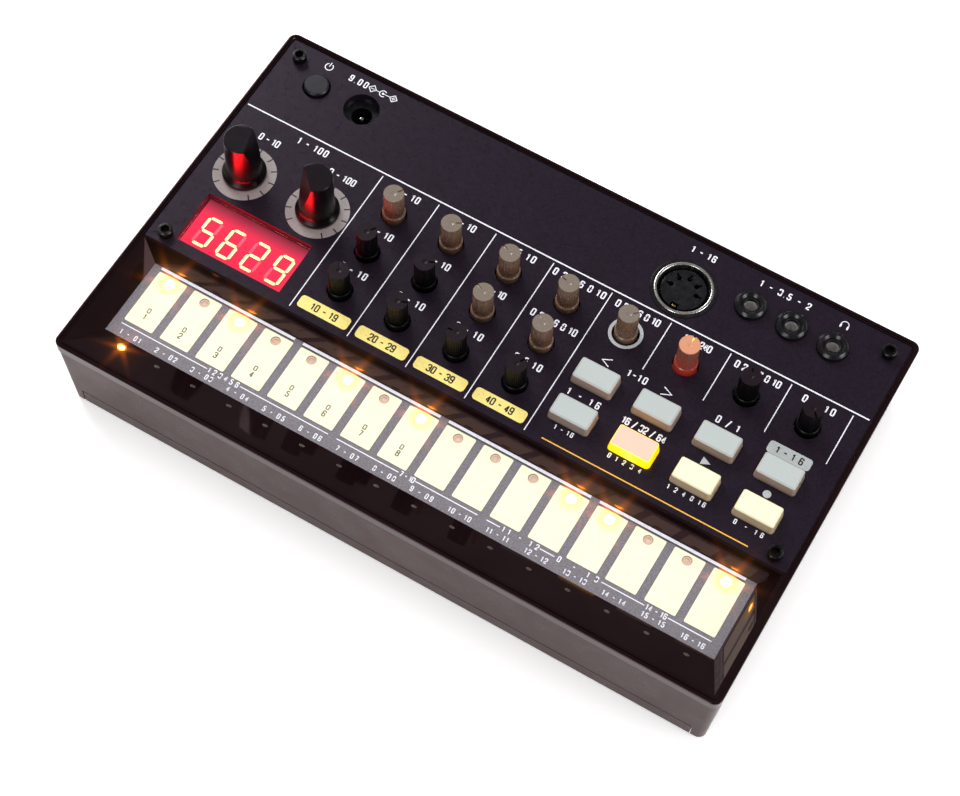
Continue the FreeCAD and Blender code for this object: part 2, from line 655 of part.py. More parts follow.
def make_control_panel():
    """Printed plate with every opening that a knob, key, socket or the display needs."""
    body = new_body("control_panel", up=PANEL_UNDER)
    plate = new_sketch(body)
    across, rear = INNER_HALF_WIDTH - size.panel_gap, INNER_HALF_DEPTH - size.panel_gap
    corner = INNER_CORNER - size.panel_gap
    draw_rounded(plate, -across, across, -PANEL_FRONT + size.panel_gap, rear, corner)
    for name, number, row, pointer in SMALL_KNOBS:
        draw_circle(plate, *knob_place(number, row), size.knob_hole_radius)
    for name, place, pointer in LARGE_KNOBS:
        draw_circle(plate, place, size.dial_row, size.dial_hole_radius)
    for place in PANEL_SCREWS:
        draw_circle(plate, *place, size.screw_radius + size.head_play)
    draw_circle(plate, size.power_across, size.power_back, size.power_radius + size.power_play)
    draw_circle(plate, size.supply_across, size.power_back, size.supply_recess_radius)
    draw_circle(plate, size.din_across, size.din_back, size.din_radius + size.din_play)
    for name, number in JACKS:
        place = size.jack_across + size.jack_pitch * number
        draw_circle(plate, place, size.jack_back, size.jack_nose_radius + size.jack_nose_play)
    for name, number, row in BUTTONS:
        width = size.button_width + size.button_play * 2
        depth = size.button_depth + size.button_play * 2
        corner = size.button_corner + size.button_play
        draw_rounded_block(plate, *button_place(number, row), width, depth, corner)
    draw_block(plate, size.display_across, -size.display_front, size.display_width, size.display_depth)
    pad(body, plate, size.panel_thickness)
    return body


def make_lower_case():
    """Drafted walls with rounded corners, a cut-out for the cover's lip, and ribbed screw posts."""
    body = new_body("lower_case", up=size.foot_proud)
    top_outline = new_sketch(body, WALL_HEIGHT)
    across, back = WALL_HALF_WIDTH, WALL_HALF_DEPTH
    draw_rounded(top_outline, -across, across, -back, back, CASE_CORNER)
    foot_outline = new_sketch(body)
    across, back = across - WALL_LEAN, back - WALL_LEAN
    draw_rounded(foot_outline, -across, across, -back, back, CASE_CORNER)
    loft(body, "AdditiveLoft", foot_outline, top_outline)
    top_hollow = new_sketch(body, WALL_HEIGHT)
    across, back = HOLLOW_HALF_WIDTH + WALL_LEAN, HOLLOW_HALF_DEPTH + WALL_LEAN
    draw_rounded(top_hollow, -across, across, -back, back, HOLLOW_CORNER)
    foot_hollow = new_sketch(body)
    across, back = HOLLOW_HALF_WIDTH, HOLLOW_HALF_DEPTH
    draw_rounded(foot_hollow, -across, across, -back, back, HOLLOW_CORNER)
    loft(body, "SubtractiveLoft", foot_hollow, top_hollow)

    posts = new_sketch(body, size.floor_thickness)
    for place in PANEL_SCREWS:
        draw_circle(posts, *place, size.post_radius)
    pad(body, posts, PANEL_UNDER - size.foot_proud - size.floor_thickness)
    low_posts = new_sketch(body, size.floor_thickness)
    for place in BOTTOM_SCREWS:
        draw_circle(low_posts, *place, size.post_radius)
    pad(body, low_posts, size.low_post_top - size.floor_thickness)
    ribs = new_sketch(body, size.floor_thickness)
    reach = HOLLOW_HALF_WIDTH + size.wall_thickness / 2
    for side in (-1, 1):
        middle = (size.bottom_screw_side + reach) / 2 * side
        for back in BOTTOM_ROWS:
            draw_block(ribs, middle, back, reach - size.bottom_screw_side, size.rib_width)
    pad(body, ribs, size.low_post_top - size.floor_thickness)
    top_bores = new_sketch(body, PANEL_UNDER - size.foot_proud)
    for place in PANEL_SCREWS:
        draw_circle(top_bores, *place, size.screw_radius + size.screw_play)
    pocket(body, top_bores, size.screw_length)
    foot_bores = new_sketch(body, size.floor_thickness)
    for place in BOTTOM_SCREWS:
        draw_circle(foot_bores, *place, size.screw_radius + size.screw_play)
    pocket(body, foot_bores, size.screw_length, up=True)

    lip = new_sketch(body)
    across = size.lip_width / 2 + size.lip_gap
    draw_box(lip, -across, across, -size.case_depth / 2, -HOLLOW_HALF_DEPTH)
    pocket(body, lip, size.lip_height + size.lip_gap, up=True)
    return body


def make_bottom_cover():
    """Plate with the front lip, battery bay, board posts, speaker ring and grille."""
    body = new_body("bottom_cover", up=size.foot_proud)
    plate = new_sketch(body)
    across, back = HOLLOW_HALF_WIDTH - size.cover_gap, HOLLOW_HALF_DEPTH - size.cover_gap
    draw_rounded(plate, -across, across, -back, back, HOLLOW_CORNER)
    pad(body, plate, size.floor_thickness)

    lip = new_sketch(body, -size.lip_width / 2, "YZ_Plane")
    face_foot = WALL_LEAN - WALL_HALF_DEPTH
    face_top = face_foot - tangent(size.wall_draft) * size.lip_height
    inside = size.lip_thickness - back
    back_of_lip = face_foot + size.lip_thickness
    draw_loop(lip, [
        (face_foot, 0),
        (inside, 0),
        (inside, size.floor_thickness),
        (back_of_lip, size.floor_thickness),
        (back_of_lip, size.lip_height),
        (face_top, size.lip_height),
    ])
    pad(body, lip, size.lip_width)

    bay = new_sketch(body)
    wall = size.bay_wall * 2
    draw_block(bay, 0, -size.bay_centre, size.bay_length + wall, size.bay_width + wall)
    pad(body, bay, size.bay_height + size.bay_wall)
    touch_posts = new_sketch(body, size.bay_height)
    for side in (-1, 1):
        draw_circle(touch_posts, size.touch_post_side * side, -size.bay_centre, size.touch_post_radius)
    pad(body, touch_posts, TOUCH_UNDER - size.foot_proud - size.bay_height)
    standoffs = new_sketch(body)
    for place in STANDOFFS:
        draw_circle(standoffs, *place, size.standoff_radius)
    pad(body, standoffs, size.board_level - size.board_thickness)
    ring = new_sketch(body)
    bore = size.speaker_radius + size.speaker_play
    for radius in (bore, bore + size.speaker_ring):
        draw_circle(ring, size.speaker_across, size.speaker_back, radius)
    pad(body, ring, size.speaker_ring_top)

    hollow = new_sketch(body)
    draw_block(hollow, 0, -size.bay_centre, size.bay_length, size.bay_width)
    pocket(body, hollow, size.bay_height, up=True)
    screw_holes = new_sketch(body)
    for place in BOTTOM_SCREWS:
        draw_circle(screw_holes, *place, size.screw_radius + size.head_play)
    pocket(body, screw_holes, size.floor_thickness, up=True)
    head_wells = new_sketch(body)
    for place in BOTTOM_SCREWS:
        draw_circle(head_wells, *place, size.flat_head_radius + size.head_play)
    pocket(body, head_wells, size.flat_head_height + size.head_play, up=True)
    foot_wells = new_sketch(body)
    for place in FEET:
        draw_circle(foot_wells, *place, size.foot_radius + size.cover_gap)
    pocket(body, foot_wells, size.foot_sink, up=True)
    board_bores = new_sketch(body, size.board_level - size.board_thickness)
    for place in STANDOFFS:
        draw_circle(board_bores, *place, size.screw_radius + size.screw_play)
    pocket(body, board_bores, size.screw_length)
    grille = new_sketch(body)
    for number in range(GRILLE_SLOTS):
        back = size.speaker_back + size.grille_pitch * (number - (GRILLE_SLOTS - 1) / 2)
        draw_block(grille, size.speaker_across, back, size.grille_length, size.grille_slot)
    pocket(body, grille, size.floor_thickness, up=True)
    return body


def make_battery_door():
    """Door that turns down about a round bead at its rear edge, with a snap tongue in front."""
    radius = size.door_thickness / 2
    rear_edge = size.bay_width / 2 - size.bay_centre
    hinge = rear_edge - size.door_gap - radius
    body = new_body("battery_door", back=hinge, up=size.foot_proud + radius)
    length = size.bay_length - size.door_gap * 2
    front = -(size.bay_width - size.door_gap * 2 - radius)
    bead = new_sketch(body, -length / 2, "YZ_Plane")
    draw_circle(bead, 0, 0, radius)
    pad(body, bead, length)
    plate = new_sketch(body, -length / 2, "YZ_Plane")
    draw_box(plate, front, 0, -radius, radius)
    pad(body, plate, length)
    tongue = new_sketch(body, radius)
    draw_block(tongue, 0, front + size.door_thickness, size.door_tongue_width, size.door_thickness)
    pad(body, tongue, size.door_tongue)
    grip = new_sketch(body, -radius)
    for number in range(GRIP_GROOVES):
        back = front + size.grip_setback + size.grip_pitch * number
        draw_block(grip, 0, back, size.grip_width, size.grip_groove)
    pocket(body, grip, size.grip_depth, up=True)
    return body


def make_touch_board():
    """Keyboard board under the trough, with a blind hole over each step lamp."""
    body = new_body("touch_board", up=TOUCH_UNDER)
    board = new_sketch(body)
    across = size.trough_floor_width / 2 + size.touch_margin
    front = -size.trough_floor_front - size.touch_margin
    draw_box(board, -across, across, front, -size.trough_floor_rear + size.touch_margin)
    pad(body, board, size.touch_thickness)
    holes = new_sketch(body, size.touch_thickness)
    for number in range(KEY_COUNT):
        draw_circle(holes, key_across(number), -KEY_REAR - size.lamp_setback, size.lamp_hole_radius)
    pocket(body, holes, size.lamp_hole_depth)
    return body


def key_across(number):
    """Place across of a touch pad, counted from 0."""
    return size.key_pitch * (number - (KEY_COUNT - 1) / 2)


def make_touch_pads():
    """Sixteen printed pads, each with a hole for its step lamp."""
    body = new_body("touch_pads", up=TROUGH_FLOOR)
    pads = new_sketch(body)
    middle = -KEY_REAR - size.key_length / 2
    for number in range(KEY_COUNT):
        draw_block(pads, key_across(number), middle, size.key_width, size.key_length)
        draw_circle(pads, key_across(number), -KEY_REAR - size.lamp_setback, size.lamp_hole_radius)
    pad(body, pads, size.key_thickness)
    return body


def make_step_lamps():
    """Sixteen small lamps on the floors of their holes."""
    body = new_body("step_lamps", up=TROUGH_FLOOR - size.lamp_hole_depth)
    lamps = new_sketch(body)
    for number in range(KEY_COUNT):
        draw_block(lamps, key_across(number), -KEY_REAR - size.lamp_setback, size.lamp_side, size.lamp_side)
    pad(body, lamps, size.lamp_height)
    return body


def make_rubber_feet():
    """Four round feet in their recesses."""
    body = new_body("rubber_feet")
    feet = new_sketch(body)
    for place in FEET:
        draw_circle(feet, *place, size.foot_radius)
    pad(body, feet, size.foot_proud + size.foot_sink)
    return body


def make_panel_screws():
    """Four socket-head screws that hold the panel to the posts."""
    body = new_body("panel_screws", up=PANEL_TOP)
    heads = new_sketch(body)
    for place in PANEL_SCREWS:
        draw_circle(heads, *place, size.socket_head_radius)
    pad(body, heads, size.socket_head_height)
    bevel_edges(body, size.socket_head_bevel, size.socket_head_height)
    sockets = new_sketch(body, size.socket_head_height)
    for across, back in PANEL_SCREWS:
        corners = []
        for number in range(6):
            angle = math.radians(60 * number)
            x = across + size.hex_radius * math.cos(angle)
            y = back + size.hex_radius * math.sin(angle)
            corners.append((x, y))
        draw_loop(sockets, corners)
    pocket(body, sockets, size.hex_depth)
    shanks = new_sketch(body)
    for place in PANEL_SCREWS:
        draw_circle(shanks, *place, size.screw_radius)
    pad(body, shanks, size.screw_length, down=True)
    return body


def make_flat_screws(label, places, level, down):
    """Low round-head screws, driven down into their posts or up from below."""
    body = new_body(label, up=level)
    heads = new_sketch(body)
    for place in places:
        draw_circle(heads, *place, size.flat_head_radius)
    pad(body, heads, size.flat_head_height, down=not down)
    shanks = new_sketch(body)
    for place in places:
        draw_circle(shanks, *place, size.screw_radius)
    pad(body, shanks, size.screw_length, down=down)
    return body


# Inside


def make_main_board():
    """Main circuit board on its four standoffs."""
    body = new_body("main_board", up=BOARD_TOP - size.board_thickness)
    board = new_sketch(body)
    across = size.board_width / 2
    draw_box(board, -across, across, -size.board_front, size.board_rear)
    for place in STANDOFFS:
        draw_circle(board, *place, size.screw_radius + size.head_play)
    pad(body, board, size.board_thickness)
    return body


def make_pots(label, places):
    """Rotary control bodies: blocks on the board, bored for the stems that turn in them."""
    body = new_body(label, up=BOARD_TOP)
    blocks = new_sketch(body)
    for place in places:
        draw_block(blocks, *place, size.pot_width, size.pot_depth)
    pad(body, blocks, size.pot_height)
    bores = new_sketch(body, size.pot_height)
    for place in places:
        draw_circle(bores, *place, size.stem_radius + size.turn_play)
    floor = BOARD_TO_PANEL - size.stem_drop - size.seat_play
    pocket(body, bores, size.pot_height - floor)
    return body


def make_switches():
    """Push switches under the keys, each with a well for its plunger."""
    body = new_body("push_switches", up=BOARD_TOP)
    places = [button_place(number, row) for name, number, row in BUTTONS]
    places.append((size.power_across, size.power_back))
    blocks = new_sketch(body)
    for place in places:
        draw_block(blocks, *place, size.switch_side, size.switch_side)
    pad(body, blocks, size.switch_height)
    wells = new_sketch(body, size.switch_height)
    for place in places:
        draw_circle(wells, *place, size.plunger_radius + size.plunger_play)
    pocket(body, wells, size.switch_height - size.switch_floor)
    return body


def make_display():
    """Digit block on two rails, and the red window over it."""
    window_level = PANEL_UNDER - size.window_thickness
    block_level = window_level - size.module_height - BOARD_TOP
    window = new_body("display_window", size.display_across, -size.display_front, window_level)
    outline = new_sketch(window)
    width = size.display_width + size.window_margin * 2
    depth = size.display_depth + size.window_margin * 2
    draw_block(outline, 0, 0, width, depth)
    pad(window, outline, size.window_thickness)
    module = new_body("display_module", size.display_across, -size.display_front, BOARD_TOP)
    block = new_sketch(module, block_level)
    width = width - size.module_inset * 2
    depth = depth - size.module_inset * 2
    draw_block(block, 0, 0, width, depth)
    pad(module, block, size.module_height)
    rails = new_sketch(module)
    for side in (-1, 1):
        draw_block(rails, 0, (depth - size.module_rail) / 2 * side, width, size.module_rail)
    pad(module, rails, block_level)
    return window, module


def make_supply_socket():
    """Power inlet: a sunk round face with a bore, and its centre pin."""
    body = new_body("supply_socket", size.supply_across, size.power_back, BOARD_TOP)
    face = BOARD_TO_PANEL - size.supply_recess_depth
    top = PANEL_UNDER - BOARD_TOP
    floor = face - size.supply_bore_depth
    revolve(body, [
        (0, 0),
        (size.supply_body_radius, 0),
        (size.supply_body_radius, top),
        (size.supply_recess_radius, top),
        (size.supply_recess_radius, face),
        (size.supply_bore_radius, face),
        (size.supply_bore_radius, floor),
        (0, floor),
    ])
    pin = new_body("supply_pin", size.supply_across, size.power_back, BOARD_TOP + floor)
    revolve(pin, [
        (0, 0),
        (size.supply_pin_radius, 0),
        (size.supply_pin_radius, size.supply_pin_length - size.supply_pin_radius),
        (size.supply_pin_radius / 2, size.supply_pin_length),
        (0, size.supply_pin_length),
    ])
    return body, pin


def make_din_socket():
    """Round five-pin socket: black body with its insert, and the bright shell in the well."""
    body = new_body("din_socket", size.din_across, size.din_back, BOARD_TOP)
    top = BOARD_TO_PANEL + size.din_proud
    well = BOARD_TO_PANEL - size.din_well_depth
    face = BOARD_TO_PANEL - size.din_insert_drop
    well_radius = size.din_shell_radius + size.din_play
    revolve(body, [
        (0, 0),
        (size.din_radius, 0),
        (size.din_radius, top),
        (well_radius, top),
        (well_radius, well),
        (size.din_insert_radius, well),
        (size.din_insert_radius, face),
        (0, face),
    ])
    pins = new_sketch(body, face)
    for number in range(5):
        angle = math.radians(45 * number)
        x = size.din_pin_circle * math.cos(angle)
        y = size.din_pin_circle * math.sin(angle)
        draw_circle(pins, x, y, size.din_pin_radius)
    pocket(body, pins, size.din_pin_depth)
    slots = new_sketch(body, face)
    for number in range(5):
        angle = math.radians(45 * number)
        corners = []
        for reach, side in ((0, -1), (1, -1), (1, 1), (0, 1)):
            along = size.din_pin_circle + (size.din_slot_reach - size.din_pin_circle) * reach
            aside = size.din_slot_width / 2 * side
            x = along * math.cos(angle) - aside * math.sin(angle)
            y = along * math.sin(angle) + aside * math.cos(angle)
            corners.append((x, y))
        draw_loop(slots, corners)
    pocket(body, slots, size.din_slot_depth)
    key = new_sketch(body, face)
    draw_block(key, 0, -size.din_insert_radius, size.din_key_width, size.din_key_reach * 2)
    pocket(body, key, size.din_well_depth - size.din_insert_drop)
    shell = new_body("din_shell", size.din_across, size.din_back, BOARD_TOP + well)
    inner = size.din_shell_radius - size.din_shell_wall
    height = size.din_well_depth + size.din_shell_proud
    ring = new_sketch(shell)
    for radius in (inner, size.din_shell_radius):
        draw_circle(ring, 0, 0, radius)
    pad(shell, ring, height)
    bevel_edges(shell, size.din_shell_bevel, height)
    return body, shell


def make_jack(label, number):
    """Small round audio socket: a block on the board with a bevelled nose through the panel."""
    body = new_body(label, size.jack_across + size.jack_pitch * number, size.jack_back, BOARD_TOP)
    block = new_sketch(body)
    draw_block(block, 0, 0, size.jack_width, size.jack_depth)
    pad(body, block, size.jack_body_height)
    top = BOARD_TO_PANEL + size.jack_nose_height
    nose = new_sketch(body, size.jack_body_height)
    draw_circle(nose, 0, 0, size.jack_nose_radius)
    pad(body, nose, top - size.jack_body_height)
    bore = new_sketch(body, top)
    draw_circle(bore, 0, 0, size.jack_bore_radius)
    pocket(body, bore, size.jack_bore_depth)
    bevel_edges(body, size.jack_nose_bevel, top)
    return body


def make_jack_sleeves():
    """Metal sleeves in the three noses, bored for the plug."""
    top = size.jack_nose_height - size.sleeve_drop
    body = new_body("jack_sleeves", up=PANEL_TOP + top - size.sleeve_length)
    rings = new_sketch(body)
    for name, number in JACKS:
        across = size.jack_across + size.jack_pitch * number
        draw_circle(rings, across, size.jack_back, size.plug_radius)
        draw_circle(rings, across, size.jack_back, size.jack_bore_radius - size.sleeve_play)
    pad(body, rings, size.sleeve_length)
    return body


def make_speaker():
    """Basket with its magnet, and the paper cone inside it, facing down."""
    level = size.foot_proud + size.floor_thickness
    frame = new_body("speaker_frame", size.speaker_across, size.speaker_back, level)
    radius, height, sheet_metal = size.speaker_radius, size.speaker_height, size.speaker_sheet
    rim = radius - size.speaker_flange
    waist = height - size.magnet_height
    ceiling = waist - sheet_metal / 2
    revolve(frame, [
        (rim, 0),
        (radius, 0),
        (radius, sheet_metal),
        (rim + sheet_metal / 2, sheet_metal),
        (size.magnet_radius, waist),
        (size.magnet_radius, height),
        (0, height),
        (0, ceiling),
        (size.magnet_radius - sheet_metal, ceiling),
        (rim, sheet_metal / 2),
    ])
    cone = new_body("speaker_cone", size.speaker_across, size.speaker_back, level)
    edge = rim - size.speaker_play
    dome = ceiling - size.cone_paper - size.cone_drop
    revolve(cone, [
        (0, dome),
        (size.dome_radius, dome),
        (edge, size.cone_lift),
        (edge, size.cone_lift + size.cone_paper),
        (size.dome_radius, dome + size.cone_paper),
        (0, dome + size.cone_paper),
    ])
    return frame, cone


def make_cells():
    """Six cells in two rows of three, end to end."""
    pitch = size.cell_length + size.cell_button + size.cell_gap
    start = (size.cell_gap - pitch * 3) / 2
    body = new_body("battery_cells", start, -size.bay_centre, CELL_LEVEL)
    cans = new_sketch(body, 0, "YZ_Plane")
    buttons = new_sketch(body, size.cell_length, "YZ_Plane")
    for side in (-1, 1):
        draw_circle(cans, size.cell_row_pitch / 2 * side, 0, size.cell_radius)
        draw_circle(buttons, size.cell_row_pitch / 2 * side, 0, size.cell_button_radius)
    features = [pad(body, cans, size.cell_length), pad(body, buttons, size.cell_button)]
    row = body.newObject("PartDesign::LinearPattern", "Row")
    row.Originals = features
    row.Direction = (cans, ["N_Axis"])
    bind(row, "Length", pitch * 2)
    row.Occurrences = 3
    body.Tip = row
    return body


def make_contacts():
    """Sprung plates at both ends of the two rows of cells."""
    body = new_body("battery_contacts", back=-size.bay_centre, up=CELL_LEVEL)
    for side in (-1, 1):
        wall = size.bay_length / 2 * side
        face = wall - size.contact_thickness * side
        plates = new_sketch(body, wall, "YZ_Plane")
        springs = new_sketch(body, face, "YZ_Plane")
        for row in (-1, 1):
            place = size.cell_row_pitch / 2 * row
            draw_block(plates, place, 0, size.contact_side, size.contact_side)
            draw_circle(springs, place, 0, size.contact_spring_radius)
        pad(body, plates, size.contact_thickness, down=side > 0)
        pad(body, springs, size.contact_spring, down=side > 0)
    return body


# What the hand moves


def make_small_knob(label, number, row, pointer):
    """One-piece knob and stem: grip, waist and collar, with a pointer groove in the top."""
    body = new_body(label, *knob_place(number, row), PANEL_TOP, -pointer)
    waist_foot = size.collar_height
    waist_top = waist_foot + size.waist_height
    revolve(body, [
        (0, -size.stem_drop),
        (size.stem_radius, -size.stem_drop),
        (size.stem_radius, -size.collar_drop),
        (size.collar_radius, -size.collar_drop),
        (size.collar_radius, waist_foot),
        (size.waist_radius, waist_foot),
        (size.waist_radius, waist_top),
        (size.knob_radius, waist_top),
        (size.knob_radius, size.knob_height - size.knob_bevel),
        (size.knob_radius - size.knob_bevel, size.knob_height),
        (0, size.knob_height),
    ])
    groove = new_sketch(body, size.knob_height)
    half = size.pointer_width / 2
    draw_box(groove, -half, half, half, size.knob_radius * 2)
    pocket(body, groove, size.pointer_depth)
    return body


def make_large_knob(label, across, pointer):
    """Cap with a skirt and a slanted facet on the pointer's side, and the shaft that carries it."""
    cap = new_body(f"{label}_knob_cap", across, size.dial_row, PANEL_TOP, -pointer)
    bore = size.shaft_radius + size.shaft_play
    bore_top = size.shaft_height + size.shaft_play
    revolve(cap, [
        (bore, size.skirt_gap),
        (size.skirt_radius, size.skirt_gap),
        (size.skirt_radius, size.skirt_height - size.skirt_bevel),
        (size.skirt_radius - size.skirt_bevel, size.skirt_height),
        (size.dial_body_radius, size.skirt_height + size.skirt_bevel),
        (size.dial_top_radius, size.dial_height - size.dial_bevel),
        (size.dial_top_radius - size.dial_bevel, size.dial_height),
        (0, size.dial_height),
        (0, bore_top),
        (bore, bore_top),
    ])
    facet = new_sketch(cap, -size.skirt_radius, "YZ_Plane")
    lean = (size.dial_body_radius - size.facet_reach) / (size.dial_height - size.facet_foot)
    over = size.dial_height + CUT_BEYOND
    draw_loop(facet, [
        (size.dial_body_radius, size.facet_foot),
        (size.skirt_radius, size.facet_foot),
        (size.skirt_radius, over),
        (size.facet_reach - lean * CUT_BEYOND, over),
    ])
    pocket(cap, facet, size.skirt_radius * 2, up=True)
    shaft = new_body(f"{label}_knob_shaft", across, size.dial_row, PANEL_TOP, -pointer)
    revolve(shaft, [
        (0, -size.stem_drop),
        (size.stem_radius, -size.stem_drop),
        (size.stem_radius, -size.collar_drop),
        (size.shaft_radius, -size.collar_drop),
        (size.shaft_radius, size.shaft_height),
        (0, size.shaft_height),
    ])
    return cap, shaft


def add_plunger(body, flange_top):
    """Plunger from a key's flange down into its switch."""
    start = flange_top - size.flange_thickness
    plunger = new_sketch(body, start)
    draw_circle(plunger, 0, 0, size.plunger_radius)
    pad(body, plunger, start + BOARD_TO_PANEL - size.plunger_lift, down=True)


def make_button(label, number, row):
    """Key cap with leaning sides, its flange under the panel and its plunger."""
    body = new_body(label, *button_place(number, row), PANEL_TOP)
    flange_top = -size.panel_thickness - size.flange_gap
    half_width, half_depth = size.button_width / 2, size.button_depth / 2
    neck = new_sketch(body, flange_top)
    draw_rounded(neck, -half_width, half_width, -half_depth, half_depth, size.button_corner)
    pad(body, neck, -flange_top)
    cap = new_sketch(body)
    draw_rounded(cap, -half_width, half_width, -half_depth, half_depth, size.button_corner)
    pad(body, cap, size.button_height, taper=-size.button_draft)
    bevel_edges(body, size.button_edge, size.button_height)
    flange = new_sketch(body, flange_top)
    reach = size.flange_reach * 2
    draw_block(flange, 0, 0, size.button_width + reach, size.button_depth + reach)
    pad(body, flange, size.flange_thickness, down=True)
    add_plunger(body, flange_top)
    return body


def make_power_button():
    """Round power key with a flange and a plunger like the others."""
    body = new_body("power_button", size.power_across, size.power_back, PANEL_TOP)
    flange_top = -size.panel_thickness - size.flange_gap
    cap = new_sketch(body, flange_top)
    draw_circle(cap, 0, 0, size.power_radius)
    pad(body, cap, size.power_height - flange_top)
    bevel_edges(body, size.button_edge, size.power_height)
    flange = new_sketch(body, flange_top)
    draw_circle(flange, 0, 0, size.power_radius + size.power_play + size.flange_reach)
    pad(body, flange, size.flange_thickness, down=True)
    add_plunger(body, flange_top)
    return body


sub_parts = [
    make_top_frame(),
    make_control_panel(),
    make_lower_case(),
    make_bottom_cover(),
    make_battery_door(),
    make_touch_board(),
    make_touch_pads(),
    make_step_lamps(),
    make_rubber_feet(),
    make_panel_screws(),
    make_flat_screws(
        "bottom_screws", BOTTOM_SCREWS,
        size.foot_proud + size.flat_head_height + size.head_play, down=False,
    ),
    make_flat_screws("board_screws", STANDOFFS, BOARD_TOP, down=True),
    make_main_board(),
    make_pots("small_pots", [knob_place(number, row) for name, number, row, pointer in SMALL_KNOBS]),
    make_pots("large_pots", [(place, size.dial_row) for name, place, pointer in LARGE_KNOBS]),
    make_switches(),
    *make_display(),
    *make_supply_socket(),
    *make_din_socket(),
    *[make_jack(name, number) for name, number in JACKS],
    make_jack_sleeves(),
    *make_speaker(),
    make_cells(),
    make_contacts(),
    *[make_small_knob(*knob) for knob in SMALL_KNOBS],
    *[piece for knob in LARGE_KNOBS for piece in make_large_knob(*knob)],
    *[make_button(*button) for button in BUTTONS],
    make_power_button(),
]
doc.recompute()

# Every feature must have worked, and every cut must have taken something away
for item in doc.Objects:
    if "Invalid" in item.State or "Error" in item.State:
        raise RuntimeError(f"{item.Label} failed: {item.State}")
    if item.TypeId in ("PartDesign::Pocket", "PartDesign::SubtractiveLoft"):
        if item.Shape.Volume > item.BaseFeature.Shape.Volume - 0.01:
            raise RuntimeError(f"{item.Label} cuts nothing")
for part in sub_parts:
    if part.Shape.isNull() or not part.Shape.isValid():
        raise RuntimeError(f"{part.Label} has no valid shape")
for part in sub_parts:
    part.Shape.exportStep(f"parts/{part.Label}.step")
    print(f"{part.Label}: {len(part.Shape.Solids)} solid(s), {part.Shape.Volume:.1f} mm3")
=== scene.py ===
# %% [markdown]
# # Dressing a table-top drum machine
# The machine is a flat dark box with a touch keyboard sunk in a trough, a printed control panel, knobs,
# push keys, sockets and a lit red display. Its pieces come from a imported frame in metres, and this
# lesson gives them their surfaces: rounded edges, ribs, prints, lamps and materials. Every place is
# read from the frame where it can be, so a piece always sits where the construction says.

import json
import math

import bmesh
import bpy
from mathutils import Matrix, Vector


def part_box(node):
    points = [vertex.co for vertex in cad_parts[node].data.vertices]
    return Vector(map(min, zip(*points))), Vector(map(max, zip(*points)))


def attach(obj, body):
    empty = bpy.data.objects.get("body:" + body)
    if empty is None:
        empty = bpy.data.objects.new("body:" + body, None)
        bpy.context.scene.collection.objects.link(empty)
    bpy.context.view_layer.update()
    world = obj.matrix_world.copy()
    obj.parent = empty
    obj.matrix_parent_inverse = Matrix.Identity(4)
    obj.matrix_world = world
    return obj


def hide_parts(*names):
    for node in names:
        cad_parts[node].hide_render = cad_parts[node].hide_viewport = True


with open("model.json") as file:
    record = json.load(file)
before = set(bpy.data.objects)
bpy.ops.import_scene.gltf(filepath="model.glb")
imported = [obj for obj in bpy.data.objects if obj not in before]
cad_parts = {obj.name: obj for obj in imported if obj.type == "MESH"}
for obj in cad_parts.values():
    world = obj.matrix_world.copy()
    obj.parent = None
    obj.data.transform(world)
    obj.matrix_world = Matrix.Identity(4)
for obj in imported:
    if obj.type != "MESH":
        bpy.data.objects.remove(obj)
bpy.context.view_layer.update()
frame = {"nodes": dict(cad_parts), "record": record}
MM = 0.001
HOUSING = "housing"
scene = bpy.context.scene

# %% [markdown]
# ## The camera
# The photographer stood in front and a little to the right, and looked down steeply, with the camera
# tilted so that the machine lies across the picture. A camera is settled by where it stands and by
# three turns: round the machine, up from the table, and about its own line of sight. The lens is the
# one that makes the near and the far edge keep the photograph's proportions.

# %% Camera
CAMERA_PLACE = Vector((0.12621, -0.25156, 0.53575))
CAMERA_AZIMUTH = 26.976
CAMERA_ELEVATION = 62.318
CAMERA_ROLL = 3.581
LENS_MM = 83.85

camera_data = bpy.data.cameras.new("photo_camera")
camera_data.lens = LENS_MM
camera_data.sensor_width = 36.0
camera_data.clip_start = 0.01
camera_data.clip_end = 20.0
camera = bpy.data.objects.new("photo_camera", camera_data)
scene.collection.objects.link(camera)
scene.camera = camera

azimuth = math.radians(CAMERA_AZIMUTH)
elevation = math.radians(CAMERA_ELEVATION)
backwards = Vector((
    math.sin(azimuth) * math.cos(elevation),
    -math.cos(azimuth) * math.cos(elevation),
    math.sin(elevation),
))
camera.rotation_mode = "QUATERNION"
level_look = (-backwards).to_track_quat("-Z", "Y")
camera.rotation_quaternion = level_look @ Matrix.Rotation(math.radians(CAMERA_ROLL), 3, "Z").to_quaternion()
camera.location = CAMERA_PLACE
print("camera looks along", [round(value, 3) for value in -backwards])

# %% [markdown]
# ## The studio
# A product shot on white. Black gloss shows what it mirrors, so the picture depends on what stands
# round the machine: a pale floor that glows a little, as a light table does, a darker sky above, and
# soft lights off to the sides, where the flat top doesn't mirror them towards the camera. A wide light
# overhead fills the shadows and is kept out of the reflections.

# %% Floor and lights
FLOOR_SIZE = 8.0
FLOOR_GLOW = 0.42
RANGE_SOCKETS = ("From Min", "From Max", "To Min", "To Max")


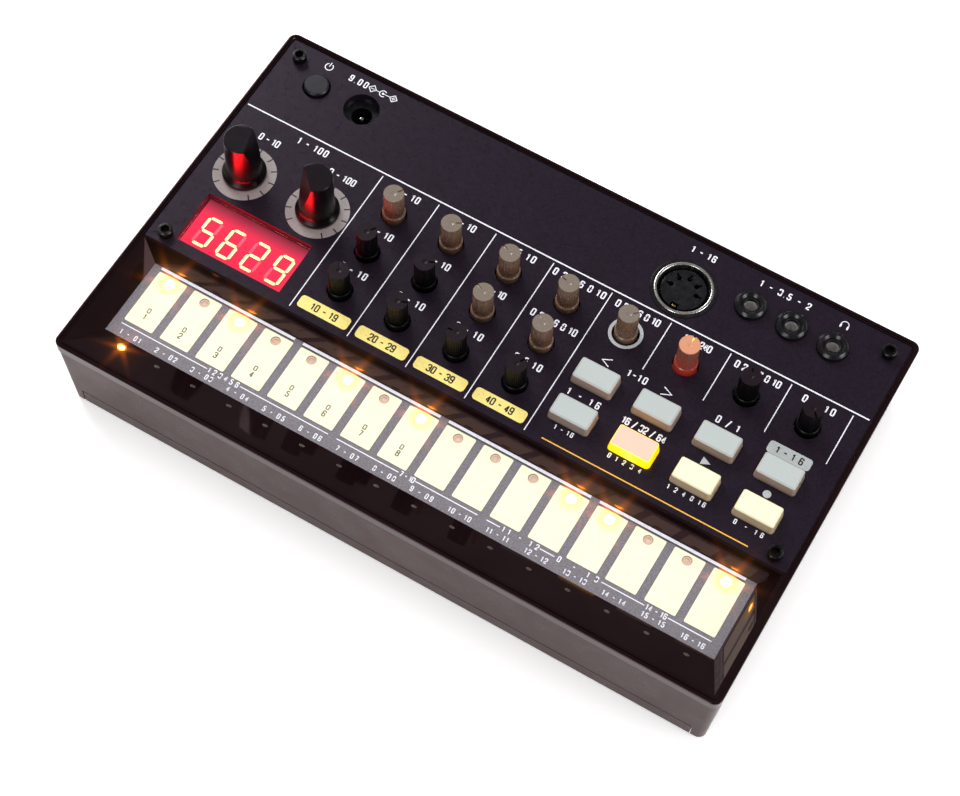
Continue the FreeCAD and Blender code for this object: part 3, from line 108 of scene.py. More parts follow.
def stage_floor():
    """A wide pale plane under the machine that shines faintly."""
    mesh = bpy.data.meshes.new("studio_floor")
    half = FLOOR_SIZE / 2
    corners = [(-half, -half, 0), (half, -half, 0), (half, half, 0), (-half, half, 0)]
    mesh.from_pydata(corners, [], [(0, 1, 2, 3)])
    floor = bpy.data.objects.new("studio_floor", mesh)
    scene.collection.objects.link(floor)
    material = bpy.data.materials.new("studio_white")
    material.use_nodes = True
    shader = material.node_tree.nodes["Principled BSDF"]
    shader.inputs["Base Color"].default_value = (0.86, 0.855, 0.85, 1)
    shader.inputs["Roughness"].default_value = 0.9
    shader.inputs["Specular IOR Level"].default_value = 0.1
    shader.inputs["Emission Color"].default_value = (1.0, 0.985, 0.98, 1)
    shader.inputs["Emission Strength"].default_value = FLOOR_GLOW
    mesh.materials.append(material)


def soft_light(name, place, size, power, colour=(1.0, 1.0, 1.0), mirrored=True):
    """A square area light that looks at the machine, and may be left out of reflections."""
    data = bpy.data.lights.new(name, "AREA")
    data.size = size
    data.energy = power
    data.color = colour
    light = bpy.data.objects.new(name, data)
    light.location = place
    light.rotation_mode = "QUATERNION"
    light.rotation_quaternion = (-Vector(place)).to_track_quat("-Z", "Y")
    light.visible_glossy = mirrored
    scene.collection.objects.link(light)


def studio_sky():
    """Faint light from all round, a little stronger at the horizon."""
    world = bpy.data.worlds.new("studio_world")
    world.use_nodes = True
    nodes, links = world.node_tree.nodes, world.node_tree.links
    direction = nodes.new("ShaderNodeTexCoord")
    split = nodes.new("ShaderNodeSeparateXYZ")
    fade = nodes.new("ShaderNodeMapRange")
    links.new(direction.outputs["Generated"], split.inputs["Vector"])
    links.new(split.outputs["Z"], fade.inputs["Value"])
    for socket, number in zip(RANGE_SOCKETS, (0.05, 0.75, 0.16, 0.14)):
        fade.inputs[socket].default_value = number
    links.new(fade.outputs["Result"], nodes["Background"].inputs["Strength"])
    nodes["Background"].inputs["Color"].default_value = (1.0, 0.985, 1.0, 1)
    scene.world = world


stage_floor()
studio_sky()
soft_light("rear_left_softbox", (-1.25, 0.85, 0.95), 0.8, 20.0, (1.0, 0.99, 0.98))
soft_light("right_softbox", (1.50, 0.10, 0.80), 0.8, 11.0, (0.97, 0.98, 1.0))
soft_light("front_fill", (-0.20, -1.60, 0.85), 0.8, 9.0)
soft_light("overhead_fill", (0.05, 0.20, 1.70), 1.6, 23.0, (1.0, 1.0, 1.0), False)
scene.view_settings.view_transform = "Standard"
print("lights:", [light.name for light in bpy.data.lights])

# %% [markdown]
# ## Helpers for materials
# Every finish starts from the Principled shader. Constants go straight on its sockets. What varies over
# the surface, such as grain, haze or dust, comes from noise that reads Object coordinates, so it stays
# on the piece when the piece moves.

# %% Material helpers


def new_finish(name, colour, roughness, **constants):
    """A material with one Principled shader whose plain values are set on its own sockets."""
    material = bpy.data.materials.new(name)
    material.use_nodes = True
    shader = material.node_tree.nodes["Principled BSDF"]
    shader.inputs["Base Color"].default_value = (*colour, 1)
    shader.inputs["Roughness"].default_value = roughness
    for socket, value in constants.items():
        shader.inputs[socket.replace("_", " ")].default_value = value
    return material, material.node_tree.nodes, material.node_tree.links, shader


def object_place(nodes):
    """Object coordinates, in metres."""
    return nodes.new("ShaderNodeTexCoord").outputs["Object"]


def noise_of(nodes, links, scale, detail=3.0):
    """A noise texture on Object coordinates; scale counts patches in a metre."""
    noise = nodes.new("ShaderNodeTexNoise")
    noise.inputs["Scale"].default_value = scale
    noise.inputs["Detail"].default_value = detail
    links.new(object_place(nodes), noise.inputs["Vector"])
    return noise.outputs["Fac"]


def spread(nodes, links, value, from_low, from_high, low=0.0, high=1.0):
    """Map a value from one range to another, and hold it there."""
    ramp = nodes.new("ShaderNodeMapRange")
    for socket, number in zip(RANGE_SOCKETS, (from_low, from_high, low, high)):
        ramp.inputs[socket].default_value = number
    links.new(value, ramp.inputs["Value"])
    return ramp.outputs["Result"]


def colours_along(nodes, links, value, *stops):
    """Colours by a value from 0 to 1; each stop is a place and a colour."""
    ramp = nodes.new("ShaderNodeValToRGB")
    elements = ramp.color_ramp.elements
    while len(elements) < len(stops):
        elements.new(1.0)
    for element, (place, colour) in zip(elements, stops):
        element.position = place
        element.color = (*colour, 1)
    links.new(value, ramp.inputs["Fac"])
    return ramp.outputs["Color"]


def add_grain(nodes, links, shader, scale, depth, strength=1.0):
    """Raise a fine grain on the surface; depth is in metres."""
    bump = nodes.new("ShaderNodeBump")
    bump.inputs["Distance"].default_value = depth
    bump.inputs["Strength"].default_value = strength
    links.new(noise_of(nodes, links, scale), bump.inputs["Height"])
    links.new(bump.outputs["Normal"], shader.inputs["Normal"])


def vary_roughness(nodes, links, shader, scale, low, high):
    """Let the gloss wander between two values, as handling and dust leave it."""
    gloss = spread(nodes, links, noise_of(nodes, links, scale), 0.3, 0.7, low, high)
    links.new(gloss, shader.inputs["Roughness"])


def vary_colour(nodes, links, shader, scale, first, second, start=0.35, end=0.65):
    """Mix two colours by a noise; start and end say how sharply one turns into the other."""
    colour = colours_along(nodes, links, noise_of(nodes, links, scale, 4.0), (start, first), (end, second))
    links.new(colour, shader.inputs["Base Color"])


# %% [markdown]
# ## Finishes of the housing
# The case and the frame are one smoked, deep brown plastic with a piano gloss. Its reflections have a
# brown tint, which a specular tint gives. The control panel is a separate plate, nearly black with a
# violet cast, smooth enough to mirror the knobs faintly, under a fine moulded texture. The keyboard
# sheet is grey film with a slight sparkle.

# %% Housing finishes


def smoked_gloss():
    """Deep brown glossy plastic with a little haze."""
    material, nodes, links, shader = new_finish(
        "smoked_gloss", (0.004, 0.0016, 0.002), 0.1, IOR=1.49, Specular_Tint=(1.0, 0.56, 0.62, 1))
    vary_roughness(nodes, links, shader, 90, 0.035, 0.075)
    vary_colour(nodes, links, shader, 40, (0.0050, 0.0020, 0.0026), (0.0080, 0.0036, 0.0046))
    return material


def case_satin():
    """The same brown on the outer walls, less polished, with a base colour about ten times the frame's as
    painted light from the floor.
    """
    material, nodes, links, shader = new_finish(
        "case_satin", (0.040, 0.016, 0.016), 0.3, IOR=1.42, Specular_IOR_Level=0.14,
        Specular_Tint=(1.0, 0.55, 0.55, 1))
    vary_roughness(nodes, links, shader, 120, 0.24, 0.36)
    vary_colour(nodes, links, shader, 60, (0.034, 0.013, 0.013), (0.046, 0.019, 0.019))
    return material


def panel_texture():
    """Near-black plate with a violet cast and a fine moulded grain."""
    material, nodes, links, shader = new_finish(
        "panel_texture", (0.010, 0.006, 0.012), 0.3, Specular_IOR_Level=0.4,
        Specular_Tint=(0.92, 0.78, 1.0, 1))
    add_grain(nodes, links, shader, 3500, 0.000004, 0.5)
    vary_roughness(nodes, links, shader, 900, 0.27, 0.34)
    vary_colour(nodes, links, shader, 1500, (0.0085, 0.0048, 0.0095), (0.0125, 0.0080, 0.0140))
    return material


def keyboard_sheet():
    """Grey keyboard film with a faint sparkle."""
    material, nodes, links, shader = new_finish("keyboard_sheet", (0.20, 0.185, 0.21), 0.42)
    vary_colour(nodes, links, shader, 2400, (0.132, 0.116, 0.134), (0.206, 0.186, 0.210), 0.36, 0.62)
    vary_roughness(nodes, links, shader, 500, 0.36, 0.50)
    return material


SMOKED = smoked_gloss()
CASE = case_satin()
PANEL = panel_texture()
KEYBOARD = keyboard_sheet()
print("housing finishes:", [material.name for material in (SMOKED, CASE, PANEL, KEYBOARD)])

# %% [markdown]
# ## Metals, rubber and the inside
# Screws are black oxide steel, the sockets have nickel plate, and underneath there are zinc screws and
# rubber feet. The inside only shows when the battery door is open or through a hole, but each of its
# pieces still gets its own finish.

# %% Metals, rubber and inner finishes


def worn_metal(name, dull, bright, low, high):
    """Metal whose colour and gloss wander a little."""
    material, nodes, links, shader = new_finish(name, bright, high, Metallic=1.0)
    vary_colour(nodes, links, shader, 700, dull, bright)
    vary_roughness(nodes, links, shader, 1500, low, high)
    return material


def moulded(name, first, second, low, high, scale=600, grain=0.00002):
    """Plain moulded or coated material with a faint grain and a slightly uneven colour."""
    material, nodes, links, shader = new_finish(name, first, high)
    vary_colour(nodes, links, shader, scale, first, second)
    vary_roughness(nodes, links, shader, scale, low, high)
    add_grain(nodes, links, shader, 3500, grain, 0.5)
    return material


def plated_below(name, level):
    """Black plastic above a height, nickel plate below it."""
    material, nodes, links, shader = new_finish(name, (0.85, 0.84, 0.82), 0.2)
    split = nodes.new("ShaderNodeSeparateXYZ")
    links.new(object_place(nodes), split.inputs["Vector"])
    plated = spread(nodes, links, split.outputs["Z"], level - 0.00015, level, 1.0, 0.0)
    dark, bright = (0.006, 0.006, 0.007), (0.88, 0.86, 0.84)
    links.new(colours_along(nodes, links, plated, (0.0, dark), (1.0, bright)), shader.inputs["Base Color"])
    links.new(spread(nodes, links, plated, 0.0, 1.0, 0.0, 0.35), shader.inputs["Metallic"])
    vary_roughness(nodes, links, shader, 1500, 0.30, 0.45)
    return material


SCREW = worn_metal("black_oxide_steel", (0.020, 0.019, 0.020), (0.060, 0.057, 0.058), 0.28, 0.45)
STEEL = worn_metal("zinc_steel", (0.42, 0.42, 0.43), (0.62, 0.62, 0.63), 0.25, 0.40)
NICKEL = worn_metal("nickel_plate", (0.74, 0.72, 0.69), (0.88, 0.87, 0.85), 0.06, 0.18)
SATIN_NICKEL = worn_metal("satin_nickel", (0.80, 0.78, 0.74), (0.95, 0.93, 0.90), 0.24, 0.34)
BRASS = worn_metal("brass_contact", (0.55, 0.40, 0.16), (0.78, 0.60, 0.28), 0.20, 0.35)
RUBBER = moulded("foot_rubber", (0.014, 0.014, 0.014), (0.022, 0.022, 0.022), 0.7, 0.9, grain=0.00004)
SOCKET = moulded("socket_black", (0.0050, 0.0046, 0.0062), (0.0085, 0.0080, 0.0100), 0.18, 0.30)
CIRCUIT = moulded("circuit_green", (0.010, 0.075, 0.028), (0.016, 0.11, 0.040), 0.30, 0.45)
INNER = moulded("inner_grey", (0.16, 0.16, 0.17), (0.22, 0.22, 0.23), 0.40, 0.60)
SLEEVE = plated_below("sleeve_nickel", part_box("headphone_jack")[1].z - 0.0021)
PAPER = moulded("cone_paper", (0.012, 0.012, 0.012), (0.030, 0.029, 0.028), 0.80, 0.95, 900, 0.00006)
JACKET = moulded("cell_jacket", (0.03, 0.07, 0.20), (0.05, 0.10, 0.27), 0.25, 0.40)
print("finishes so far:", len(bpy.data.materials))

# %% [markdown]
# ## Softening the construction's own shapes
# Pieces from the frame have perfectly sharp edges, and real mouldings never do: light catches on a small
# radius at every edge. A copy of the piece has its loose triangles merged, and a Bevel modifier rounds
# what is sharper than a set angle. A Weighted Normal modifier then lets large faces weigh more in each
# corner, so that flat sides still shade flat. The copy stands for the piece and moves with its body.

# %% Softened copies
BODY_OF = {node: body for body, nodes in frame["record"]["behaviour"]["bodies"].items() for node in nodes}


def make_plain(piece):
    """Apply every modifier, so that the mesh is what shows."""
    graph = bpy.context.evaluated_depsgraph_get()
    solid = bpy.data.meshes.new_from_object(piece.evaluated_get(graph))
    piece.modifiers.clear()
    piece.data = solid
    return piece


def new_piece(name, mesh):
    """An object at the origin that holds a mesh."""
    piece = bpy.data.objects.new(name, mesh)
    scene.collection.objects.link(piece)
    return piece


def settle(piece, body, slot, *nodes):
    """Let a piece ride on a body, and stand for nodes if any are named; the slot is not used."""
    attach(piece, body)
    if nodes:
        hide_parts(*nodes)
    return piece


def merged_copy(node):
    """A node's mesh with its loose triangles joined."""
    mesh = frame["nodes"][node].data.copy()
    mesh.materials.clear()
    build = bmesh.new()
    build.from_mesh(mesh)
    bmesh.ops.remove_doubles(build, verts=build.verts, dist=1e-6)
    build.to_mesh(mesh)
    build.free()
    return mesh


def keep_flats_flat(piece):
    """Smooth shading whose flat faces stay flat: large faces weigh more in each normal."""
    piece.data.shade_smooth()
    piece.data.set_sharp_from_angle(angle=math.radians(35))
    weighted = piece.modifiers.new("flat_faces", "WEIGHTED_NORMAL")
    weighted.keep_sharp = True
    make_plain(piece)


def round_the_edges(piece, width_mm, segments=2, degrees=38.0):
    """Round every edge that turns by more than the angle."""
    edges = piece.modifiers.new("soft_edges", "BEVEL")
    edges.width = width_mm * MM
    edges.segments = segments
    edges.limit_method = "ANGLE"
    edges.angle_limit = math.radians(degrees)
    make_plain(piece)
    keep_flats_flat(piece)


def softened(node, width_mm, finish, slot, segments=2):
    """A copy of a node with rounded edges and a finish."""
    piece = new_piece(f"{node}_skin", merged_copy(node))
    piece.data.materials.append(finish)
    round_the_edges(piece, width_mm, segments)
    return settle(piece, BODY_OF[node], slot, node)


# %% [markdown]
# ## Housing, sockets and underside
# These pieces keep the construction's shape. What differs is how crisp their edges are: about a tenth
# of a millimetre on the panel, and more on the noses of the sockets and on the rubber feet.

# %% Softened housing pieces
HOUSING_SKINS = [
    ("control_panel", 0.10, PANEL, "panel_black"),
    ("top_frame", 0.12, SMOKED, "smoked_gloss"),
    ("lower_case", 0.20, CASE, "smoked_gloss"),
    ("bottom_cover", 0.20, CASE, "smoked_gloss"),
    ("battery_door", 0.15, CASE, "smoked_gloss"),
    ("touch_board", 0.05, KEYBOARD, "keyboard_grey"),
    ("panel_screws", 0.10, SCREW, "black_steel"),
    ("bottom_screws", 0.15, STEEL, "plain_steel"),
    ("rubber_feet", 0.30, RUBBER, "foot_rubber"),
    ("supply_socket", 0.20, SOCKET, "black_satin"),
    ("supply_pin", 0.10, NICKEL, "bright_metal"),
    ("din_socket", 0.06, SOCKET, "black_satin"),
    ("din_shell", 0.10, SATIN_NICKEL, "bright_metal"),
    ("jack_sleeves", 0.10, SLEEVE, "bright_metal"),
    ("sync_in_jack", 0.25, SOCKET, "black_satin", 3),
    ("sync_out_jack", 0.25, SOCKET, "black_satin", 3),
    ("headphone_jack", 0.25, SOCKET, "black_satin", 3),
]
for skin in HOUSING_SKINS:
    softened(*skin)

# %% [markdown]
# ## Pieces inside
# Boards, controls and cells keep the construction's own meshes, and only get their finishes in their
# material slots. A node's mesh may not be changed, but its material slots may.

# %% Finishes on the inner nodes
INNER_FINISHES = {
    "main_board": CIRCUIT, "small_pots": INNER, "large_pots": INNER, "push_switches": INNER,
    "battery_cells": JACKET, "battery_contacts": NICKEL, "speaker_frame": STEEL, "speaker_cone": PAPER,
    "board_screws": STEEL,
}
for node, finish in INNER_FINISHES.items():
    mesh = frame["nodes"][node].data
    mesh.materials.clear()
    mesh.materials.append(finish)
print("inner nodes dressed:", len(INNER_FINISHES))

# %% [markdown]
# ## Flat prints
# White lines and figures are silk-screened on the panel: a layer of ink a few hundredths of a
# millimetre thick. Each print is a flat mesh just above the panel, built from simple outlines.

# %% Outlines for prints
PRINT_LIFT = 0.02
PANEL_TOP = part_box("control_panel")[1].z / MM
PRINT_LEVEL = PANEL_TOP + PRINT_LIFT


def strip(left, right, front, rear):
    """One rectangle."""
    return [[(left, front), (right, front), (right, rear), (left, rear)]]


def around(across, back, radius, start=0.0, turn=360.0, steps=48):
    """Points on an arc, anticlockwise from +X."""
    angles = [math.radians(start + turn * n / steps) for n in range(steps + (turn < 360))]
    return [(across + radius * math.cos(a), back + radius * math.sin(a)) for a in angles]


def disc(across, back, radius):
    """One round face."""
    return [around(across, back, radius)]


def band(across, back, inner, outer, start=0.0, turn=360.0):
    """A ring, or a part of one."""
    near = around(across, back, inner, start, turn)
    far = around(across, back, outer, start, turn)
    if turn == 360:
        near, far = near + near[:1], far + far[:1]
    return [[near[n], far[n], far[n + 1], near[n + 1]] for n in range(len(near) - 1)]


def rounded_box(across, back, width, depth, corner):
    """One rectangle with round corners."""
    outline = []
    places = [(1, 1, 0), (-1, 1, 90), (-1, -1, 180), (1, -1, 270)]
    for right, rear, start in places:
        x, y = across + right * (width / 2 - corner), back + rear * (depth / 2 - corner)
        outline += around(x, y, corner, start, 89.9, 6)
    return [outline]


def stroke(points, width):
    """A thin line through points, one rectangle for each run."""
    faces = []
    for start, end in zip(points, points[1:]):
        run = Vector(end) - Vector(start)
        side = Vector((-run.y, run.x)).normalized() * width / 2
        along = run.normalized() * width / 2
        first, last = Vector(start) - along, Vector(end) + along
        faces.append([tuple(first - side), tuple(last - side), tuple(last + side), tuple(first + side)])
    return faces


# %% [markdown]
# ### Narrow figures
# The figures are a narrow, bold face with square shoulders and rounded corners, as on instrument
# panels. Blender's own font is wider and thinner, so each figure is a centre line on a grid two units
# wide and two high. The corners of the line are eased, and a ribbon of even width follows it.

# %% Figures from centre lines
FIGURE_LINES = {
    "0": [([(-1, -1), (-1, 1), (1, 1), (1, -1)], True)],
    "1": [([(-0.7, 0.5), (0.15, 1), (0.15, -1)], False)],
    "2": [([(-1, 0.45), (-1, 1), (1, 1), (1, 0.15), (-1, -0.75), (-1, -1), (1.1, -1)], False)],
    "3": [([(-1, 0.5), (-1, 1), (1, 1), (1, 0.05), (-0.3, 0.05)], False),
          ([(-0.3, 0.05), (1, 0.05), (1, -1), (-1, -1), (-1, -0.5)], False)],
    "4": [([(0.45, -1), (0.45, 1), (-1, -0.45), (1.2, -0.45)], False)],
    "5": [([(1, 1), (-0.85, 1), (-0.85, 0.1), (1, 0.1), (1, -1), (-1, -1), (-1, -0.5)], False)],
    "6": [([(1, 0.55), (1, 1), (-1, 1), (-1, -1), (1, -1), (1, 0.1), (-1, 0.1)], False)],
    "7": [([(-1, 1), (1, 1), (-0.2, -1)], False)],
    "8": [([(-0.9, 0.08), (-0.9, 1), (0.9, 1), (0.9, 0.08)], True),
          ([(-1, -1), (-1, 0.08), (1, 0.08), (1, -1)], True)],
    "9": [([(-1, -0.55), (-1, -1), (1, -1), (1, 1), (-1, 1), (-1, -0.1), (1, -0.1)], False)],
    "-": [([(-0.85, 0), (0.85, 0)], False)],
    "/": [([(-0.9, -1.2), (0.9, 1.2)], False)],
    ".": [([(-0.12, -1), (0.12, -1)], False)],
}
FIGURE_ADVANCE = {" ": 0.36, "1": 0.48, "-": 0.58, "/": 0.60, ".": 0.30}


def eased(path, reach, closed):
    """Replace each corner of a path by four points on a small curve."""
    result = []
    for n, here in enumerate(path):
        if not closed and n in (0, len(path) - 1):
            result.append(here)
            continue
        before, after = path[n - 1], path[(n + 1) % len(path)]
        first = here + (before - here).normalized() * min(reach, (before - here).length * 0.45)
        last = here + (after - here).normalized() * min(reach, (after - here).length * 0.45)
        for share in (0.0, 0.33, 0.67, 1.0):
            result.append(first.lerp(here, share).lerp(here.lerp(last, share), share))
    return result


def ribbon(path, width, closed):
    """Quads of even width along a path, joined on the mitre."""
    count = len(path)
    edges = []
    for n, here in enumerate(path):
        run_in = here - path[n - 1] if closed or n else path[1] - here
        run_out = path[(n + 1) % count] - here if closed or n < count - 1 else run_in
        first, second = run_in.normalized(), run_out.normalized()
        side = Vector((-(first + second).y, (first + second).x)).normalized()
        reach = width / 2 / max(0.5, side.dot(Vector((-first.y, first.x))))
        edges.append((here - side * reach, here + side * reach))
    faces = []
    for n in range(count if closed else count - 1):
        (right, left), (next_right, next_left) = edges[n], edges[(n + 1) % count]
        faces.append([tuple(right), tuple(next_right), tuple(next_left), tuple(left)])
    return faces


def lettering(words, across, back, height, length=None, weight=0.165, half_width=0.185):
    """Faces of a centred line of figures, height in mm, spread to a length if one is given."""
    line = height * weight
    grid_x, grid_y = height * half_width, (height - line) / 2
    steps = [FIGURE_ADVANCE.get(sign, 0.60) * height for sign in words]
    if length:
        ends = (steps[0] + steps[-1]) / 2
        stretch = (length - 2 * grid_x - line) / (sum(steps) - ends) if len(words) > 1 else 1.0
        steps = [step * stretch for step in steps]
    faces, pen = [], across - (sum(steps) - (steps[0] + steps[-1]) / 2) / 2
    for number, sign in enumerate(words):
        if number:
            pen += (steps[number - 1] + steps[number]) / 2
        for points, closed in FIGURE_LINES.get(sign, ()):
            path = [Vector((pen + x * grid_x, back + y * grid_y)) for x, y in points]
            faces += ribbon(eased(path, height * 0.13, closed), line, closed)
    return faces


def print_on(name, faces, level, finish, slot="pad_cream"):
    """A flat print at a level, riding on the housing."""
    corners, loops = [], []
    for face in faces:
        loops.append(range(len(corners), len(corners) + len(face)))
        corners += [(x * MM, y * MM, level * MM) for x, y in face]
    mesh = bpy.data.meshes.new(name)
    mesh.from_pydata(corners, [], loops)
    mesh.materials.append(finish)
    return settle(new_piece(name, mesh), HOUSING, slot)


# %% [markdown]
# ## Inks
# Silk-screen ink is matt and slightly uneven. A fine noise breaks its colour, as thin ink over a
# textured plate looks.

# %% Ink finishes


def ink(name, colour):
    """Matt ink whose cover wanders a little."""
    material, nodes, links, shader = new_finish(name, colour, 0.55)
    faint = tuple(part * 0.82 for part in colour)
    vary_colour(nodes, links, shader, 1800, faint, colour, 0.30, 0.50)
    vary_roughness(nodes, links, shader, 900, 0.45, 0.65)
    return material


WHITE_INK = ink("white_ink", (0.82, 0.82, 0.88))
PALE_INK = ink("pale_ink", (0.44, 0.45, 0.46))
BOX_INK = ink("box_ink", (0.39, 0.42, 0.415))
DIAL_INK = ink("dial_ink", (0.27, 0.24, 0.235))
YELLOW_INK = ink("yellow_ink", (0.85, 0.70, 0.21))
GOLD_INK = ink("gold_ink", (0.80, 0.42, 0.05))
MARK_INK = ink("mark_ink", (0.16, 0.15, 0.115))
DARK_INK = ink("dark_ink", (0.010, 0.009, 0.012))
print("inks ready")

# %% [markdown]
# ## A small kit for Geometry Nodes
# What repeats on the machine, such as dividers, dial ticks, knob ribs and lamp rims, is made by node
# trees. Each tree is built here, its sizes are named inputs, and it ends in Realize Instances and Set
# Material, so that the result is one plain mesh.

# %% Tree helpers


def new_tree(name, sizes):
    """An empty tree with named inputs; returns it with its input and output nodes."""
    tree = bpy.data.node_groups.new(name, "GeometryNodeTree")
    for label, (kind, value) in sizes.items():
        socket = tree.interface.new_socket(label, in_out="INPUT", socket_type=f"NodeSocket{kind}")
        if value is not None:
            socket.default_value = value
    tree.interface.new_socket("Geometry", in_out="OUTPUT", socket_type="NodeSocketGeometry")
    return tree, tree.nodes.new("NodeGroupInput").outputs, tree.nodes.new("NodeGroupOutput")


def add(tree, kind, sockets=None, **settings):
    """Add a node, link or set its inputs, and return its outputs."""
    node = tree.nodes.new(kind)
    for setting, value in settings.items():
        setattr(node, setting, value)
    for socket, source in (sockets or {}).items():
        target = node.inputs[socket]
        if isinstance(source, bpy.types.NodeSocket):
            tree.links.new(source, target)
        else:
            target.default_value = source
    return node.outputs


def math_node(tree, operation, first, second):
    """One sum of two values."""
    return add(tree, "ShaderNodeMath", {0: first, 1: second}, operation=operation)[0]


def close_tree(tree, geometry, material, output):
    """End a tree in real geometry with its finish."""
    real = add(tree, "GeometryNodeRealizeInstances", {0: geometry})[0]
    dressed = add(tree, "GeometryNodeSetMaterial", {"Geometry": real, "Material": material})[0]
    tree.links.new(dressed, output.inputs[0])


def grow(name, tree, **values):
    """Run a tree on an empty mesh with its inputs set by identifier, and keep the result."""
    piece = new_piece(name, bpy.data.meshes.new(name))
    modifier = piece.modifiers.new("grow", "NODES")
    modifier.node_group = tree
    for item in tree.interface.items_tree:
        if item.in_out == "INPUT" and item.name.replace(" ", "_").lower() in values:
            modifier[item.identifier] = values[item.name.replace(" ", "_").lower()]
    return make_plain(piece)


# %% [markdown]
# ### Rows and rings of bars
# Two trees cover most of the repeats. One sets bars along a straight line at a fixed step, which gives
# the dividers of the panel. The other sets bars round an upright axis, which gives the ticks of a dial.

# %% Trees for rows and rings


def row_tree():
    """Bars in a row: a mesh line carries one cube at each point."""
    tree, given, output = new_tree("row_of_bars", {
        "Count": ("Int", 5), "Start": ("Vector", (0, 0, 0)), "Step": ("Vector", (0.01, 0, 0)),
        "Bar": ("Vector", (0.001, 0.01, 0.001)), "Finish": ("Material", None),
    })
    line = add(tree, "GeometryNodeMeshLine", {
        "Count": given["Count"], "Start Location": given["Start"], "Offset": given["Step"]})
    bar = add(tree, "GeometryNodeMeshCube", {"Size": given["Bar"]})
    row = add(tree, "GeometryNodeInstanceOnPoints", {"Points": line[0], "Instance": bar[0]})
    close_tree(tree, row[0], given["Finish"], output)
    return tree


def ring_tree():
    """Bars round an upright axis: each turns with its own place, counted clockwise from the rear."""
    tree, given, output = new_tree("ring_of_bars", {
        "Count": ("Int", 11), "Centre": ("Vector", (0, 0, 0)), "Radius": ("Float", 0.005),
        "Start Turn": ("Float", 0.0), "Step Turn": ("Float", 0.1), "Bar": ("Vector", (0.001, 0.001, 0.001)),
        "Finish": ("Material", None),
    })
    index = add(tree, "GeometryNodeInputIndex")[0]
    steps = math_node(tree, "MULTIPLY", index, given["Step Turn"])
    turn = math_node(tree, "ADD", steps, given["Start Turn"])
    across = math_node(tree, "MULTIPLY", math_node(tree, "SINE", turn, 0.0), given["Radius"])
    back = math_node(tree, "MULTIPLY", math_node(tree, "COSINE", turn, 0.0), given["Radius"])
    place = add(tree, "ShaderNodeCombineXYZ", {"X": across, "Y": back})[0]
    points = add(tree, "GeometryNodePoints", {"Count": given["Count"], "Position": place})[0]
    bar = add(tree, "GeometryNodeMeshCube", {"Size": given["Bar"]})[0]
    spin = add(tree, "ShaderNodeCombineXYZ", {"Z": math_node(tree, "MULTIPLY", turn, -1.0)})[0]
    facing = add(tree, "FunctionNodeEulerToRotation", {"Euler": spin})[0]
    ring = add(tree, "GeometryNodeInstanceOnPoints", {
        "Points": points, "Instance": bar, "Rotation": facing})[0]
    moved = add(tree, "GeometryNodeTransform", {"Geometry": ring, "Translation": given["Centre"]})[0]
    close_tree(tree, moved, given["Finish"], output)
    return tree


ROW_OF_BARS = row_tree()
RING_OF_BARS = ring_tree()
print("trees:", [tree.name for tree in bpy.data.node_groups])

# %% [markdown]
# ## Lines of the panel
# A white line crosses the panel behind the knobs, and thin dividers run forward from it between the
# columns: five long ones round the drum voices and four short ones that end at the keys. The dividers
# repeat at the column pitch, so a row of bars makes each set.

# %% White line and dividers


def centre_of(node):
    """Middle of a node in plan, in mm."""
    low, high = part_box(node)
    return (low.x + high.x) / 2 / MM, (low.y + high.y) / 2 / MM


FIRST_COLUMN = centre_of("kick_click_knob")[0]
COLUMN_PITCH = centre_of("snare_snap_knob")[0] - FIRST_COLUMN
COLUMNS = [FIRST_COLUMN + COLUMN_PITCH * number for number in range(8)]
INK_THICKNESS = 0.03
LINE_REAR = 30.95


def divider_row(name, first, count, rear, front):
    """Thin white bars between columns."""
    low, high = front * MM, rear * MM
    level = (PANEL_TOP + INK_THICKNESS / 2) * MM
    piece = grow(
        name, ROW_OF_BARS, count=count, start=((first - COLUMN_PITCH / 2) * MM, (low + high) / 2, level),
        step=(COLUMN_PITCH * MM, 0, 0), bar=(0.28 * MM, high - low, INK_THICKNESS * MM), finish=WHITE_INK)
    return settle(piece, HOUSING, "pad_cream")


divider_row("long_dividers", COLUMNS[0], 5, 30.0, -17.0)
divider_row("short_dividers", COLUMNS[5], 4, 30.0, 14.0)
print("column pitch in mm:", round(COLUMN_PITCH, 2))

# %% [markdown]
# ## Dials, signs and figures
# Each large knob stands on a grey dial with eleven ticks. Words on the panel aren't copied: each place
# holds plain figures of the same height, such as a scale from 0 to 10 over a knob. The power, arrow,
# play, record, headphone and polarity signs are common signs.

# %% Dials under the large knobs
DIALS = [centre_of("time_knob_cap"), centre_of("depth_knob_cap")]
dial_faces = [face for across, back in DIALS for face in band(across, back, 5.6, 8.68)]
print_on("dial_rings", dial_faces, PRINT_LEVEL, DIAL_INK)
for number, (across, back) in enumerate(DIALS):
    ticks = grow(
        f"dial_ticks_{number + 1}", RING_OF_BARS, count=11,
        centre=(across * MM, back * MM, (PANEL_TOP + PRINT_LIFT * 1.5) * MM), radius=7.85 * MM,
        start_turn=math.radians(-140), step_turn=math.radians(28),
        bar=(0.36 * MM, 1.6 * MM, INK_THICKNESS * MM), finish=DARK_INK)
    settle(ticks, HOUSING, "panel_black")
print("dials at", [tuple(round(value, 1) for value in dial) for dial in DIALS])

# %% Signs
BOX_WIDTH, BOX_DEPTH = 15.1, 3.8
BOX_BACK = -14.05
# Middle across, middle back, width and depth of the pale box over the last grey key.
KEY_BOX = (81.3, 11.3, 12.1, 3.6)


def power_sign(across, back):
    """Open ring with a bar."""
    bar = stroke([(across, back + 0.25), (across, back + 1.45)], 0.26)
    return band(across, back, 0.98, 1.26, 120, 300) + bar


